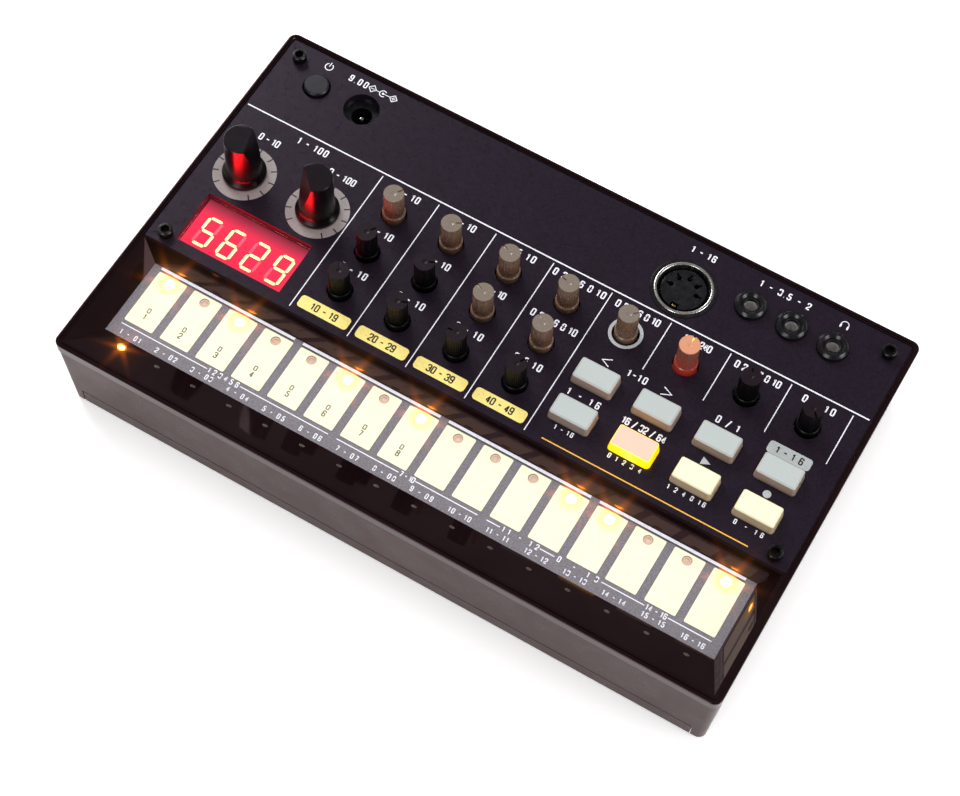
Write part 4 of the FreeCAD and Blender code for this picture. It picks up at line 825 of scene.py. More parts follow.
def diamond(across, back, reach, width):
    """Outline of a square that stands on its corner."""
    turns = ((1, 0), (0, 1), (-1, 0), (0, -1))
    corners = [Vector((across + x * reach, back + y * reach)) for x, y in turns]
    return ribbon(corners, width, True)


def polarity_sign(left, middle, right, back):
    """Two diamonds and a cup in a row, joined by thin lines, as beside a supply socket."""
    faces = diamond(left, back, 1.15, 0.24) + diamond(right, back, 1.15, 0.24)
    faces += stroke([(left - 0.45, back), (left + 0.45, back)], 0.22)
    faces += stroke([(right - 0.45, back), (right + 0.45, back)], 0.22)
    faces += stroke([(right, back - 0.45), (right, back + 0.45)], 0.22)
    faces += band(middle, back, 0.86, 1.12, 45, 270) + disc(middle, back, 0.36)
    faces += stroke([(left + 1.35, back), (middle - 1.15, back)], 0.2)
    return faces + stroke([(middle + 0.35, back), (right - 1.35, back)], 0.2)


def headphone_sign(across, back):
    """Bow with two ear pieces."""
    bow = band(across, back, 0.92, 1.14, -10, 200)
    ears = [rounded_box(across + side * 0.98, back - 0.62, 0.5, 1.1, 0.2)[0] for side in (-1, 1)]
    return bow + ears


signs = strip(-94.3, 94.4, LINE_REAR - 0.19, LINE_REAR + 0.19)
signs += power_sign(-81.9, 53.0) + polarity_sign(-67.8, -64.5, -61.2, 53.0) + headphone_sign(76.8, 53.0)
signs += ribbon([Vector(place) for place in ((29.6, 12.4), (27.2, 11.2), (29.6, 10.0))], 0.28, False)
signs += ribbon([Vector(place) for place in ((44.8, 10.0), (47.5, 11.2), (44.8, 12.4))], 0.28, False)
print_on("panel_signs", signs, PRINT_LEVEL, WHITE_INK)
print_on("speed_ring", band(*centre_of("sample_speed_knob"), 3.75, 4.65), PRINT_LEVEL, PALE_INK)
start_signs = [[(62.7, -2.5), (65.2, -1.3), (62.7, -0.1)]] + disc(81.2, -1.3, 1.1)
print_on("start_signs", start_signs, PRINT_LEVEL, PALE_INK)
print_on("key_box", rounded_box(*KEY_BOX, 0.9), PRINT_LEVEL, BOX_INK)
voice_boxes = [rounded_box(COLUMNS[n], BOX_BACK, BOX_WIDTH, BOX_DEPTH, 1.0)[0] for n in range(4)]
print_on("voice_boxes", voice_boxes, PRINT_LEVEL, YELLOW_INK)
print_on("yellow_line", strip(24.8, 83.6, -16.78, -16.43), PRINT_LEVEL, GOLD_INK)
print("faces in the signs:", len(signs))

# %% [markdown]
# ### The figures of the panel
# Each entry below is a line of figures, its middle, its height and its length. The knobs of one row
# share a height, so the rows read as rows.

# %% Figures
FIGURE_ROWS = [
    (28.1, 2.3, [
        ("1 - 100", -71.6, 9.6), ("0 - 10", COLUMNS[0], 7.6), ("0 - 10", COLUMNS[1], 7.0),
        ("0 5 10", COLUMNS[2], 8.6), ("0 2 4 6 8 10", COLUMNS[3], 15.6), ("0 2 4 6 8 10", 28.6, 13.0),
        ("10 - 240", 46.2, 8.2), ("0 2 4 6 8 10", 63.8, 13.2), ("0 5 10", 81.4, 9.2),
    ]),
    (23.9, 2.3, [("0 - 10", DIALS[0][0], 6.4), ("0 - 100", DIALS[1][0], 8.4)]),
    (14.3, 2.3, [
        ("0 - 10", COLUMNS[0], 7.4), ("0 - 10", COLUMNS[1], 7.4), ("0 - 10", COLUMNS[2], 6.0),
        ("0 2 4 6 8 10", COLUMNS[3], 13.6),
    ]),
    (0.5, 2.3, [
        ("0 - 10", COLUMNS[0], 8.2), ("0 - 10", COLUMNS[1], 8.2), ("0 - 10", COLUMNS[2], 8.2),
        ("0 5 10", COLUMNS[3], 8.2),
    ]),
    (53.05, 2.2, [("9.00", -72.3, 5.8), ("1 - 16", 35.1, 7.4), ("1 - 3.5 - 2", 59.3, 14.9)]),
    (11.3, 2.26, [("1-10", 37.4, 5.8), ("0 / 1", 63.8, 6.8)]),
    (-1.3, 2.2, [("1 - 16", 28.5, 9.6), ("16 / 32 / 64", 46.05, 12.6)]),
    (-12.1, 1.5, [
        ("1 - 16", COLUMNS[4], 5.6), ("0 1 2 3 4", COLUMNS[5], 9.5), ("1 2 4 8 16", COLUMNS[6], 10.9),
        ("0 - 16", COLUMNS[7], 8.3),
    ]),
]
figures = []
for back, height, entries in FIGURE_ROWS:
    for words, across, length in entries:
        figures += lettering(words, across, back, height, length)
print_on("panel_figures", figures, PRINT_LEVEL, WHITE_INK)
dark_figures = lettering("1-16", KEY_BOX[0], KEY_BOX[1], 2.2, 7.8)
for number in range(4):
    dark_figures += lettering(f"{number + 1}0 - {number + 1}9", COLUMNS[number], BOX_BACK, 2.3, 8.0)
print_on("box_figures", dark_figures, PANEL_TOP + PRINT_LIFT * 2, DARK_INK, "panel_black")
print("faces in the figures:", len(figures) + len(dark_figures))

# %% [markdown]
# ## The touch keyboard
# Sixteen cream pads are printed on the grey sheet, each with a hole over an amber lamp. Seven lamps are
# lit, and their pads carry a painted glow round the hole: the pad's own colour turns yellow and emits
# there. A pad needs to know whether its lamp is lit, so each face carries an attribute, and the material
# mixes in the painted glow by the distance from the hole.

# %% Pads and their glow
LIT_STEPS = {1, 3, 6, 8, 12, 13, 16}
pads_low, pads_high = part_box("touch_pads")
PAD_TOP = pads_high.z / MM
# Fifteen pitches and the width of one pad make up the row, which is this many pitches long.
PADS_IN_PITCHES = 15.787
KEY_PITCH = (pads_high.x - pads_low.x) / MM / PADS_IN_PITCHES
KEY_ACROSS = [KEY_PITCH * (number - 7.5) for number in range(16)]
LAMP_BACK = (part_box("step_lamps")[0].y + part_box("step_lamps")[1].y) / 2 / MM


def step_of(across_mm):
    """Number of the step whose pad holds this place across."""
    return min(16, max(1, round(across_mm / KEY_PITCH + 7.5) + 1))


def mark_lit(mesh):
    """Store 1 on every face of a lit step, and 0 elsewhere."""
    lit = mesh.attributes.new("lit", "FLOAT", "FACE")
    for polygon in mesh.polygons:
        lit.data[polygon.index].value = float(step_of(polygon.center.x / MM) in LIT_STEPS)


def distance_from_lamp(nodes, links):
    """Distance in metres from the nearest lamp of the row, on Object coordinates."""
    split = nodes.new("ShaderNodeSeparateXYZ")
    links.new(object_place(nodes), split.inputs["Vector"])
    wrap = nodes.new("ShaderNodeMath")
    wrap.operation = "PINGPONG"
    wrap.inputs[1].default_value = KEY_PITCH * MM / 2
    links.new(split.outputs["X"], wrap.inputs[0])
    across = nodes.new("ShaderNodeMath")
    across.operation = "SUBTRACT"
    across.inputs[0].default_value = KEY_PITCH * MM / 2
    links.new(wrap.outputs[0], across.inputs[1])
    flat = nodes.new("ShaderNodeCombineXYZ")
    links.new(across.outputs[0], flat.inputs["X"])
    links.new(split.outputs["Y"], flat.inputs["Y"])
    length = nodes.new("ShaderNodeVectorMath")
    length.operation = "DISTANCE"
    length.inputs[1].default_value = (0, LAMP_BACK * MM, 0)
    links.new(flat.outputs["Vector"], length.inputs[0])
    return length.outputs["Value"]


def painted_glow_of(nodes, links, near, far):
    """Mask of the painted glow: 1 at a lit lamp's edge, fading to 0, and 0 everywhere on a dark step."""
    lit = nodes.new("ShaderNodeAttribute")
    lit.attribute_name = "lit"
    amount = nodes.new("ShaderNodeMath")
    amount.operation = "MULTIPLY"
    links.new(lit.outputs["Fac"], amount.inputs[0])
    links.new(spread(nodes, links, distance_from_lamp(nodes, links), near, far, 1.0, 0.0), amount.inputs[1])
    return amount.outputs[0]


def pad_cream():
    """Cream ink with a painted glow round a lit lamp: its colour turns yellow and it emits there."""
    material, nodes, links, shader = new_finish("pad_cream", (0.88, 0.87, 0.66), 0.45)
    plain = colours_along(
        nodes, links, noise_of(nodes, links, 500, 4.0),
        (0.35, (0.87, 0.84, 0.59)), (0.65, (0.89, 0.87, 0.64)))
    # Painted glow: the lamp's light on the pad is given as yellow colour and emission in the ink.
    glow = painted_glow_of(nodes, links, 0.0013, 0.0040)
    warm = nodes.new("ShaderNodeMix")
    warm.data_type = "RGBA"
    links.new(glow, warm.inputs["Factor"])
    links.new(plain, warm.inputs[6])
    warm.inputs[7].default_value = (0.95, 0.62, 0.06, 1)
    links.new(warm.outputs[2], shader.inputs["Base Color"])
    links.new(glow, shader.inputs["Emission Strength"])
    shader.inputs["Emission Color"].default_value = (1.0, 0.85, 0.22, 1)
    return material


def round_uprights(mesh, radius_mm):
    """Round the upright edges at a block's corners, and leave its holes as they are."""
    build = bmesh.new()
    build.from_mesh(mesh)
    uprights = []
    for edge in build.edges:
        rise = abs(edge.verts[0].co.z - edge.verts[1].co.z)
        if rise > 1e-5 and len(edge.link_faces) == 2 and edge.calc_face_angle() > 1.2:
            uprights.append(edge)
    bmesh.ops.bevel(build, geom=uprights, offset=radius_mm * MM, segments=4, affect="EDGES", profile=0.5)
    build.to_mesh(mesh)
    build.free()
    return len(uprights)


pads = new_piece("touch_pads_skin", merged_copy("touch_pads"))
print("pad corners rounded:", round_uprights(pads.data, 0.4))
mark_lit(pads.data)
pads.data.materials.append(pad_cream())
settle(pads, HOUSING, "pad_cream", "touch_pads")
print("key pitch in mm:", round(KEY_PITCH, 2), "lamp row at", round(LAMP_BACK, 2))

# %% [markdown]
# ### Lamps
# A lit lamp is a small amber emitter at the bottom of its hole, and a dark one is a pinkish block.
# Both are the construction's own little blocks: only the finish differs from face to face. A pale cup
# lines each hole round its lamp, and a row of swept circles makes the cups. Each cup is painted darker
# towards its outer edge as painted shade in the hole, and a cup round a lit lamp carries a painted glow.

# %% Step lamps and cups


def amber_light(name, colour, glow, strength):
    """Plain light of a lamp."""
    material, _, _, shader = new_finish(name, colour, 0.4)
    shader.inputs["Emission Color"].default_value = (*glow, 1)
    shader.inputs["Emission Strength"].default_value = strength
    return material


def cup_tree():
    """Flat rings in a row: a circle swept with a rectangle at each point of a mesh line."""
    tree, given, output = new_tree("row_of_cups", {
        "Count": ("Int", 16), "Start": ("Vector", (0, 0, 0)), "Step": ("Vector", (0.01, 0, 0)),
        "Radius": ("Float", 0.001), "Wall": ("Float", 0.0004), "Height": ("Float", 0.0003),
        "Finish": ("Material", None),
    })
    line = add(tree, "GeometryNodeMeshLine", {
        "Count": given["Count"], "Start Location": given["Start"], "Offset": given["Step"]})[0]
    path = add(tree, "GeometryNodeCurvePrimitiveCircle", {"Resolution": 32, "Radius": given["Radius"]})[0]
    section = add(tree, "GeometryNodeCurvePrimitiveQuadrilateral", {
        "Width": given["Wall"], "Height": given["Height"]})[0]
    cup = add(tree, "GeometryNodeCurveToMesh", {"Curve": path, "Profile Curve": section})[0]
    row = add(tree, "GeometryNodeInstanceOnPoints", {"Points": line, "Instance": cup})[0]
    close_tree(tree, row, given["Finish"], output)
    return tree


def cup_pink():
    """Pinkish cup with painted shade darkening it towards its outer edge, and a painted amber glow where
    its lamp is lit.
    """
    material, nodes, links, shader = new_finish("cup_pink", (0.6, 0.4, 0.3), 0.4)
    # Painted shade: the colour darkens from the lamp out to the cup's rim.
    share = spread(nodes, links, distance_from_lamp(nodes, links), 0.0008, 0.00135)
    colour = colours_along(nodes, links, share, (0.0, (0.74, 0.54, 0.41)), (0.75, (0.62, 0.43, 0.32)),
                           (1.0, (0.30, 0.18, 0.13)))
    links.new(colour, shader.inputs["Base Color"])
    vary_roughness(nodes, links, shader, 900, 0.34, 0.46)
    painted_glow_strength = nodes.new("ShaderNodeMath")
    painted_glow_strength.operation = "MULTIPLY"
    painted_glow_strength.inputs[1].default_value = 40.0
    links.new(painted_glow_of(nodes, links, 0.0015, 0.0016), painted_glow_strength.inputs[0])
    links.new(painted_glow_strength.outputs[0], shader.inputs["Emission Strength"])
    shader.inputs["Emission Color"].default_value = (1.0, 0.50, 0.09, 1)
    return material


LAMP_LIT = amber_light("lamp_lit", (0.9, 0.5, 0.1), (1.0, 0.46, 0.06), 170.0)
LAMP_DARK = moulded("lamp_dark", (0.64, 0.46, 0.37), (0.74, 0.54, 0.45), 0.15, 0.30)
lamps = new_piece("step_lamps_skin", merged_copy("step_lamps"))
lamps.data.materials.append(LAMP_DARK)
lamps.data.materials.append(LAMP_LIT)
for polygon in lamps.data.polygons:
    polygon.material_index = int(step_of(polygon.center.x / MM) in LIT_STEPS)
settle(lamps, HOUSING, "lamp_amber", "step_lamps")
cups = grow(
    "lamp_cups", cup_tree(), count=16, start=(KEY_ACROSS[0] * MM, LAMP_BACK * MM, (PAD_TOP - 0.50) * MM),
    step=(KEY_PITCH * MM, 0, 0), radius=1.08 * MM, wall=0.5 * MM, height=0.5 * MM, finish=cup_pink())
mark_lit(cups.data)
settle(cups, HOUSING, "lamp_amber")
print("cup box in mm:", [round(value / MM, 2) for value in cups.dimensions])

# %% [markdown]
# ### Ovals on the slope and a painted glint
# Sixteen small ovals lie on the smoked slope in front of the pads, one for each step, and fifteen of them
# are dull smoked lenses. The first one shines amber: it is no lamp but a painted glint of the first
# step's lit lamp, given as emission. Each is a small oval that lies on the slope, with a little lift.

# %% Ovals on the slope and a painted glint
SLOPE_FOOT = (-45.2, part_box("top_frame")[0].z / MM)
SLOPE_HEAD = (-55.5, PANEL_TOP)
SLOPE_RISE = (SLOPE_HEAD[1] - SLOPE_FOOT[1]) / (SLOPE_FOOT[0] - SLOPE_HEAD[0])
POSITION_BACK = -48.2
OVAL_STEPS = 20


def on_slope(across, back, lift):
    """A place on the slope in metres, lifted off it."""
    level = SLOPE_FOOT[1] + (SLOPE_FOOT[0] - back) * SLOPE_RISE
    return across * MM, (back + lift * SLOPE_RISE) * MM, (level + lift) * MM


def oval(across, back, reach, depth):
    """Two rings of a low oval dome: the rim lies on the slope and the inner ring is lifted."""
    rings = []
    for share, lift in ((1.0, 0.01), (0.7, 0.05)):
        outline = around(across, back, reach * share, steps=OVAL_STEPS)
        rings += [on_slope(x, back + (y - back) * depth / reach, lift) for x, y in outline]
    return rings


def position_lamp(name, places, reach, depth, finish):
    """One piece with a low dome at each place."""
    corners, faces = [], []
    for across in places:
        first = len(corners)
        inner = first + OVAL_STEPS
        corners += oval(across, POSITION_BACK, reach, depth)
        for n in range(OVAL_STEPS):
            nxt = (n + 1) % OVAL_STEPS
            faces.append((first + n, first + nxt, inner + nxt, inner + n))
        faces.append(tuple(range(inner, inner + OVAL_STEPS)))
    mesh = bpy.data.meshes.new(name)
    mesh.from_pydata(corners, [], faces)
    mesh.materials.append(finish)
    mesh.shade_smooth()
    return settle(new_piece(name, mesh), HOUSING, "lamp_amber")


SMOKED_LENS = moulded("smoked_lens", (0.050, 0.036, 0.036), (0.075, 0.055, 0.054), 0.30, 0.45)
position_places = [across + 0.5 for across in KEY_ACROSS]
position_lamp("position_lamps", position_places[1:], 0.8, 0.45, SMOKED_LENS)
# The first oval is no lamp: its amber emission is a painted glint.
PAINTED_GLINT = amber_light("star_light", (0.9, 0.6, 0.2), (1.0, 0.36, 0.03), 60.0)
position_lamp("position_lamp_lit", position_places[:1], 0.9, 0.7, PAINTED_GLINT)
print("position lamps:", len(position_places))

# %% [markdown]
# ### Lines and figures on the keyboard
# A broad white line runs behind each group of four pads, and a thin dark strip in front of each line is
# a painted shadow. In front of the pads thin brackets gather the steps into groups, with figures in each
# gap and under each pad. The first eight pads have a mark of two figures, one over the other.

# %% Keyboard print
KEYBOARD_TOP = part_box("touch_board")[1].z / MM
BRACKET_BACK = -41.4
PAD_LINES = [(-87.4, -45.7), (-43.2, -1.5), (1.0, 42.8), (45.3, 86.8)]
BRACKETS = [
    (-87.2, -60.5), (-50.3, -23.6), (-21.1, -2.6), (2.1, 20.6), (23.2, 27.1), (38.6, 42.8), (56.2, 68.3),
    (74.9, 87.0),
]
GROUPS = [
    ("1 2 3 4 5 6", -55.5, 9.4), ("7 - 10", 0.0, 4.4), ("11 - 12", 33.0, 10.6), ("0 - 13", 49.5, 11.6),
    ("14 - 16", 71.6, 6.0),
]
keyboard_faces, line_shadows = [], []
for left, right in PAD_LINES:
    keyboard_faces += strip(left, right, -22.7, -21.9)
    line_shadows += strip(left, right, -23.1, -22.9)
for left, right in BRACKETS:
    keyboard_faces += strip(left, right, BRACKET_BACK - 0.14, BRACKET_BACK + 0.14)
for words, across, length in GROUPS:
    keyboard_faces += lettering(words, across, BRACKET_BACK, 1.7, length)
for number, across in enumerate(KEY_ACROSS):
    words = f"{number + 1} - {number + 1:02d}"
    keyboard_faces += lettering(words, across, -43.55, 1.6, 6.6)
print_on("keyboard_print", keyboard_faces, KEYBOARD_TOP + PRINT_LIFT, WHITE_INK)
# The dark strips are a painted shadow in front of the white lines.
print_on("keyboard_lines", line_shadows, KEYBOARD_TOP + PRINT_LIFT, DARK_INK, "keyboard_grey")
pad_marks = []
for number, across in enumerate(KEY_ACROSS[:8]):
    pad_marks += lettering("0", across, -34.9, 1.55, None, 0.18, 0.24)
    pad_marks += lettering(str(number + 1), across, -36.95, 1.85, None, 0.16, 0.20)
print_on("pad_marks", pad_marks, PAD_TOP + PRINT_LIFT, MARK_INK)
print("faces on the keyboard:", len(keyboard_faces) + len(pad_marks))

# %% [markdown]
# ## Small knobs
# Each is one moulding: a ribbed grip over a narrow waist and a plain collar. A star-shaped profile swept
# along an upright line makes the ribbed grip in one go. A Boolean in the same tree then cuts the
# pointer groove and the dimple in the top, with the exact solver, because the ribs are so shallow.

# %% Tree for a ribbed grip


def grip_tree():
    """Star profile along an upright line, less a pointer groove and a dimple."""
    tree, given, output = new_tree("ribbed_grip", {
        "Ribs": ("Int", 36), "Radius": ("Float", 0.0028), "Rib Depth": ("Float", 0.0001),
        "Foot": ("Vector", (0, 0, 0)), "Top": ("Vector", (0, 0, 0.01)), "Pointer Turn": ("Float", 0.0),
        "Pointer": ("Vector", (0.0005, 0.003, 0.001)), "Dimple": ("Float", 0.001),
        "Finish": ("Material", None),
    })
    inner = math_node(tree, "SUBTRACT", given["Radius"], given["Rib Depth"])
    star = add(tree, "GeometryNodeCurveStar", {
        "Points": given["Ribs"], "Inner Radius": inner, "Outer Radius": given["Radius"]})[0]
    path = add(tree, "GeometryNodeCurvePrimitiveLine", {"Start": given["Foot"], "End": given["Top"]})[0]
    grip = add(tree, "GeometryNodeCurveToMesh", {
        "Curve": path, "Profile Curve": star, "Fill Caps": True})[0]
    groove = add(tree, "GeometryNodeMeshCube", {"Size": given["Pointer"]})[0]
    reach = add(tree, "ShaderNodeCombineXYZ", {"Y": given["Radius"]})[0]
    shifted = add(tree, "GeometryNodeTransform", {"Geometry": groove, "Translation": reach})[0]
    turn = math_node(tree, "MULTIPLY", given["Pointer Turn"], -1.0)
    spin = add(tree, "ShaderNodeCombineXYZ", {"Z": turn})[0]
    placed = add(tree, "GeometryNodeTransform", {
        "Geometry": shifted, "Translation": given["Top"], "Rotation": spin})[0]
    ball = add(tree, "GeometryNodeMeshUVSphere", {
        "Segments": 24, "Rings": 16, "Radius": given["Dimple"]})[0]
    rise = add(tree, "ShaderNodeCombineXYZ", {"Z": math_node(tree, "MULTIPLY", given["Dimple"], 0.85)})[0]
    middle = add(tree, "ShaderNodeVectorMath", {0: given["Top"], 1: rise}, operation="ADD")[0]
    dimple = add(tree, "GeometryNodeTransform", {"Geometry": ball, "Translation": middle})[0]
    cut = tree.nodes.new("GeometryNodeMeshBoolean")
    cut.operation = "DIFFERENCE"
    cut.solver = "EXACT"
    tree.links.new(grip, cut.inputs["Mesh 1"])
    tree.links.new(placed, cut.inputs["Mesh 2"])
    tree.links.new(dimple, cut.inputs["Mesh 2"])
    close_tree(tree, cut.outputs["Mesh"], given["Finish"], output)
    return tree


RIBBED_GRIP = grip_tree()
print("grip inputs:", [item.name for item in RIBBED_GRIP.interface.items_tree if item.in_out == "INPUT"])

# %% [markdown]
# ### Turned shapes
# The waist, the collar and the hidden stem are turned shapes: a half profile swept round the axis.
# Writing the rings out in code keeps their faces pointing outwards.

# %% Lathe helper
def turned(name, across, back, profile, finish, steps=48):
    """A closed solid of revolution from (radius, height) corners, listed from the foot to the top."""
    rings, faces = [], []
    for radius, height in profile:
        rings += [(x * MM, y * MM, height * MM) for x, y in around(across, back, radius, steps=steps)]
    for level in range(len(profile) - 1):
        low, high = level * steps, (level + 1) * steps
        for n in range(steps):
            nxt = (n + 1) % steps
            faces.append((low + n, low + nxt, high + nxt, high + n))
    faces.append(tuple(reversed(range(steps))))
    faces.append(tuple(range((len(profile) - 1) * steps, len(profile) * steps)))
    mesh = bpy.data.meshes.new(name)
    mesh.from_pydata(rings, [], faces)
    mesh.materials.append(finish)
    mesh.shade_smooth()
    mesh.set_sharp_from_angle(angle=math.radians(35))
    return new_piece(name, mesh)


# %% [markdown]
# ### Knob finishes
# Eight knobs are tinted clear plastic: pale where the top scatters the light, grey brown down the ribs
# and warmer near the waist, with a lighter band at the collar's top that is a painted highlight. One of
# them has a red lamp below it. The other eight are satin black, with the top face painted lighter than
# the sides as painted light from above. The tint follows the height, so the material reads the Object Z
# coordinate.

# %% Knob finishes
KNOB_FOOT = PANEL_TOP + 2.6
KNOB_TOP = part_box("kick_click_knob")[1].z / MM


def height_share(nodes, links, low_mm, high_mm):
    """0 at one height and 1 at another, on Object coordinates."""
    split = nodes.new("ShaderNodeSeparateXYZ")
    links.new(object_place(nodes), split.inputs["Vector"])
    return spread(nodes, links, split.outputs["Z"], low_mm * MM, high_mm * MM)


def clear_knob(name, stops, glow_stops=None, strength=0.0):
    """Tinted clear plastic whose colour follows the height; a lamp may fill it."""
    material, nodes, links, shader = new_finish(
        name, stops[0][1], 0.2, Transmission_Weight=0.12, IOR=1.49, Specular_IOR_Level=0.6)
    share = height_share(nodes, links, PANEL_TOP, KNOB_TOP)
    links.new(colours_along(nodes, links, share, *stops), shader.inputs["Base Color"])
    vary_roughness(nodes, links, shader, 1500, 0.16, 0.30)
    if glow_stops:
        links.new(colours_along(nodes, links, share, *glow_stops), shader.inputs["Emission Color"])
        shader.inputs["Emission Strength"].default_value = strength
    return material


def black_knob(name, top_mm, side, top, low, high):
    """Black plastic, darkest down its sides, with its top face painted lighter as painted light from above.
    """
    material, nodes, links, shader = new_finish(name, side, high, Specular_IOR_Level=0.2)
    share = height_share(nodes, links, PANEL_TOP, top_mm)
    stops = [(0.0, side), (0.95, side), (0.985, top)]
    links.new(colours_along(nodes, links, share, *stops), shader.inputs["Base Color"])
    vary_roughness(nodes, links, shader, 250, low, high)
    return material


BLACK = black_knob("black_satin", KNOB_TOP, (0.0010, 0.0006, 0.0010), (0.0100, 0.0050, 0.0085), 0.36, 0.46)
# The lighter stop at 0.20, at the collar's top, is a painted highlight line.
CLEAR = clear_knob("clear_grey", [
    (0.0, (0.12, 0.068, 0.046)), (0.20, (0.23, 0.135, 0.088)), (0.28, (0.17, 0.085, 0.050)),
    (0.50, (0.22, 0.118, 0.074)), (0.955, (0.26, 0.155, 0.102)), (0.985, (0.205, 0.165, 0.132)),
])
CLEAR_RED = clear_knob("clear_red", [
    (0.0, (0.14, 0.03, 0.02)), (0.30, (0.16, 0.06, 0.04)), (0.955, (0.14, 0.075, 0.055)),
    (0.985, (0.55, 0.26, 0.15)),
], [
    (0.0, (0.16, 0.006, 0.003)), (0.22, (0.12, 0.010, 0.006)), (0.50, (0.09, 0.013, 0.008)),
    (0.955, (0.06, 0.012, 0.010)), (0.985, (0.15, 0.040, 0.018)),
], 1.0)
print("knob finishes:", [material.name for material in (BLACK, CLEAR, CLEAR_RED)])

# %% Sixteen small knobs
POINTERS = {
    "kick_click": 35, "kick_pitch": 35, "kick_decay": -25, "snare_snap": 60, "snare_pitch": 65,
    "snare_decay": 70, "tom_high": -65, "tom_low": -65, "tom_decay": -95, "hat_closed": -75,
    "hat_open": -50, "hat_grain": 30, "sample_speed": 55, "tempo": 0, "part_level": -15, "volume": 140,
}
CLEAR_KNOBS = {"kick_click", "snare_snap", "tom_high", "tom_low", "hat_closed", "hat_open", "sample_speed"}


def small_knob(name, pointer, finish, slot):
    """Ribbed grip on a turned waist, collar and stem."""
    node = f"{name}_knob"
    low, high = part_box(node)
    across, back = centre_of(node)
    top, foot = high.z / MM, low.z / MM
    grip = grow(
        f"{name}_grip", RIBBED_GRIP, radius=2.8 * MM, rib_depth=0.11 * MM, finish=finish,
        foot=(across * MM, back * MM, KNOB_FOOT * MM), top=(across * MM, back * MM, top * MM),
        pointer_turn=math.radians(pointer), pointer=(0.5 * MM, 3.4 * MM, 1.0 * MM), dimple=1.5 * MM)
    round_the_edges(grip, 0.14, 2, 60)
    settle(grip, node, slot, node)
    collar_top = PANEL_TOP + 2.0
    stem = turned(f"{name}_collar", across, back, [
        (1.5, foot), (1.5, PANEL_TOP - 4.2), (3.15, PANEL_TOP - 4.2), (3.15, collar_top - 0.25),
        (2.9, collar_top), (2.5, collar_top), (2.5, KNOB_FOOT + 0.01),
    ], finish)
    settle(stem, node, slot)


for name, pointer in POINTERS.items():
    if name in CLEAR_KNOBS:
        small_knob(name, pointer, CLEAR, "clear_grey")
    elif name == "tempo":
        small_knob(name, pointer, CLEAR_RED, "clear_red")
    else:
        small_knob(name, pointer, BLACK, "black_satin")
print("small knobs:", len(POINTERS))

# %% [markdown]
# ### The flame in the tempo knob
# The tempo knob's lamp shines up through its pointer groove, so the groove looks like a small flame:
# yellow, and widest near the knob's rim. A leaf of light lies in the groove and turns with the knob.

# %% Tempo flame


def flame_light():
    """Yellow light, redder towards the middle of the knob."""
    material, nodes, links, shader = new_finish("flame_light", (0.9, 0.6, 0.1), 0.4)
    low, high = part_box("tempo_knob")
    split = nodes.new("ShaderNodeSeparateXYZ")
    links.new(object_place(nodes), split.inputs["Vector"])
    share = spread(nodes, links, split.outputs["Y"], (low.y + high.y) / 2 + 0.0009, high.y - 0.0005)
    colour = colours_along(
        nodes, links, share, (0.0, (0.95, 0.16, 0.04)), (0.45, (1.0, 0.50, 0.06)), (1.0, (1.0, 0.72, 0.16)))
    links.new(colour, shader.inputs["Emission Color"])
    shader.inputs["Emission Strength"].default_value = 1.25
    return material


flame_across, flame_back = centre_of("tempo_knob")
flame_outline = [
    (0.0, 0.9), (0.12, 1.2), (0.22, 1.9), (0.22, 2.55), (-0.22, 2.55), (-0.22, 1.9), (-0.12, 1.2),
]
flame_mesh = bpy.data.meshes.new("tempo_flame")
flame_level = (KNOB_TOP - 0.42) * MM
flame_mesh.from_pydata(
    [((flame_across + x) * MM, (flame_back + y) * MM, flame_level) for x, y in flame_outline], [],
    [tuple(range(len(flame_outline)))])
flame_mesh.materials.append(flame_light())
settle(new_piece("tempo_flame", flame_mesh), "tempo_knob", "lamp_amber")
print("flame at", round(flame_across, 1), round(flame_back, 1))

# %% [markdown]
# ## Large knobs
# A glossy black cap with a slanted facet stands on a hidden shaft. Its sides are silky rather than
# polished, so the red display nearby spreads over them as a wide glow. A red light the size of the
# display, turned up towards the knobs, stands for what its bright digits throw.

# %% Large knobs
CAP_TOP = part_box("time_knob_cap")[1].z / MM
# The cap's top face is painted lighter than its sides, as painted light from above.
GLOSS = black_knob("black_gloss", CAP_TOP, (0.0008, 0.0004, 0.0008), (0.0045, 0.0016, 0.0038), 0.28, 0.32)
SHAFT = worn_metal("shaft_metal", (0.40, 0.40, 0.41), (0.58, 0.58, 0.59), 0.25, 0.40)
for side in ("time", "depth"):
    softened(f"{side}_knob_cap", 0.14, GLOSS, "black_gloss", 3)
    shaft_mesh = frame["nodes"][f"{side}_knob_shaft"].data
    shaft_mesh.materials.clear()
    shaft_mesh.materials.append(SHAFT)
spill = bpy.data.lights.new("display_spill", "AREA")
spill.shape = "RECTANGLE"
spill.size, spill.size_y = 0.030, 0.013
spill.energy = 0.050
spill.color = (1.0, 0.006, 0.012)
spill_light = bpy.data.objects.new("display_spill", spill)
window_across, window_back = centre_of("display_window")
spill_light.location = (window_across * MM, window_back * MM, (PANEL_TOP + 0.2) * MM)
spill_light.rotation_mode = "QUATERNION"
spill_light.rotation_quaternion = Vector((0.0, 0.35, 1.0)).to_track_quat("-Z", "Y")
spill_light.visible_camera = False
scene.collection.objects.link(spill_light)
print("large knobs dressed, display light at", [round(value / MM, 1) for value in spill_light.location])

# %% [markdown]
# ## Push keys
# The keys are silky translucent plastic. Five are grey. Two are cream on top and browner down the sides.
# On the grey and cream keys the darker sides are painted shade, and on the grey keys a lighter band along
# the top edge is a painted highlight. One is lit from inside: its sides burn yellow where the lamp shows
# through, whitest in the middle of its front, and its top stays a pale pink. Top and sides part by the
# height, so one ramp along Z gives each key its look.

# %% Key finishes
KEY_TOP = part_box("mute_button")[1].z / MM


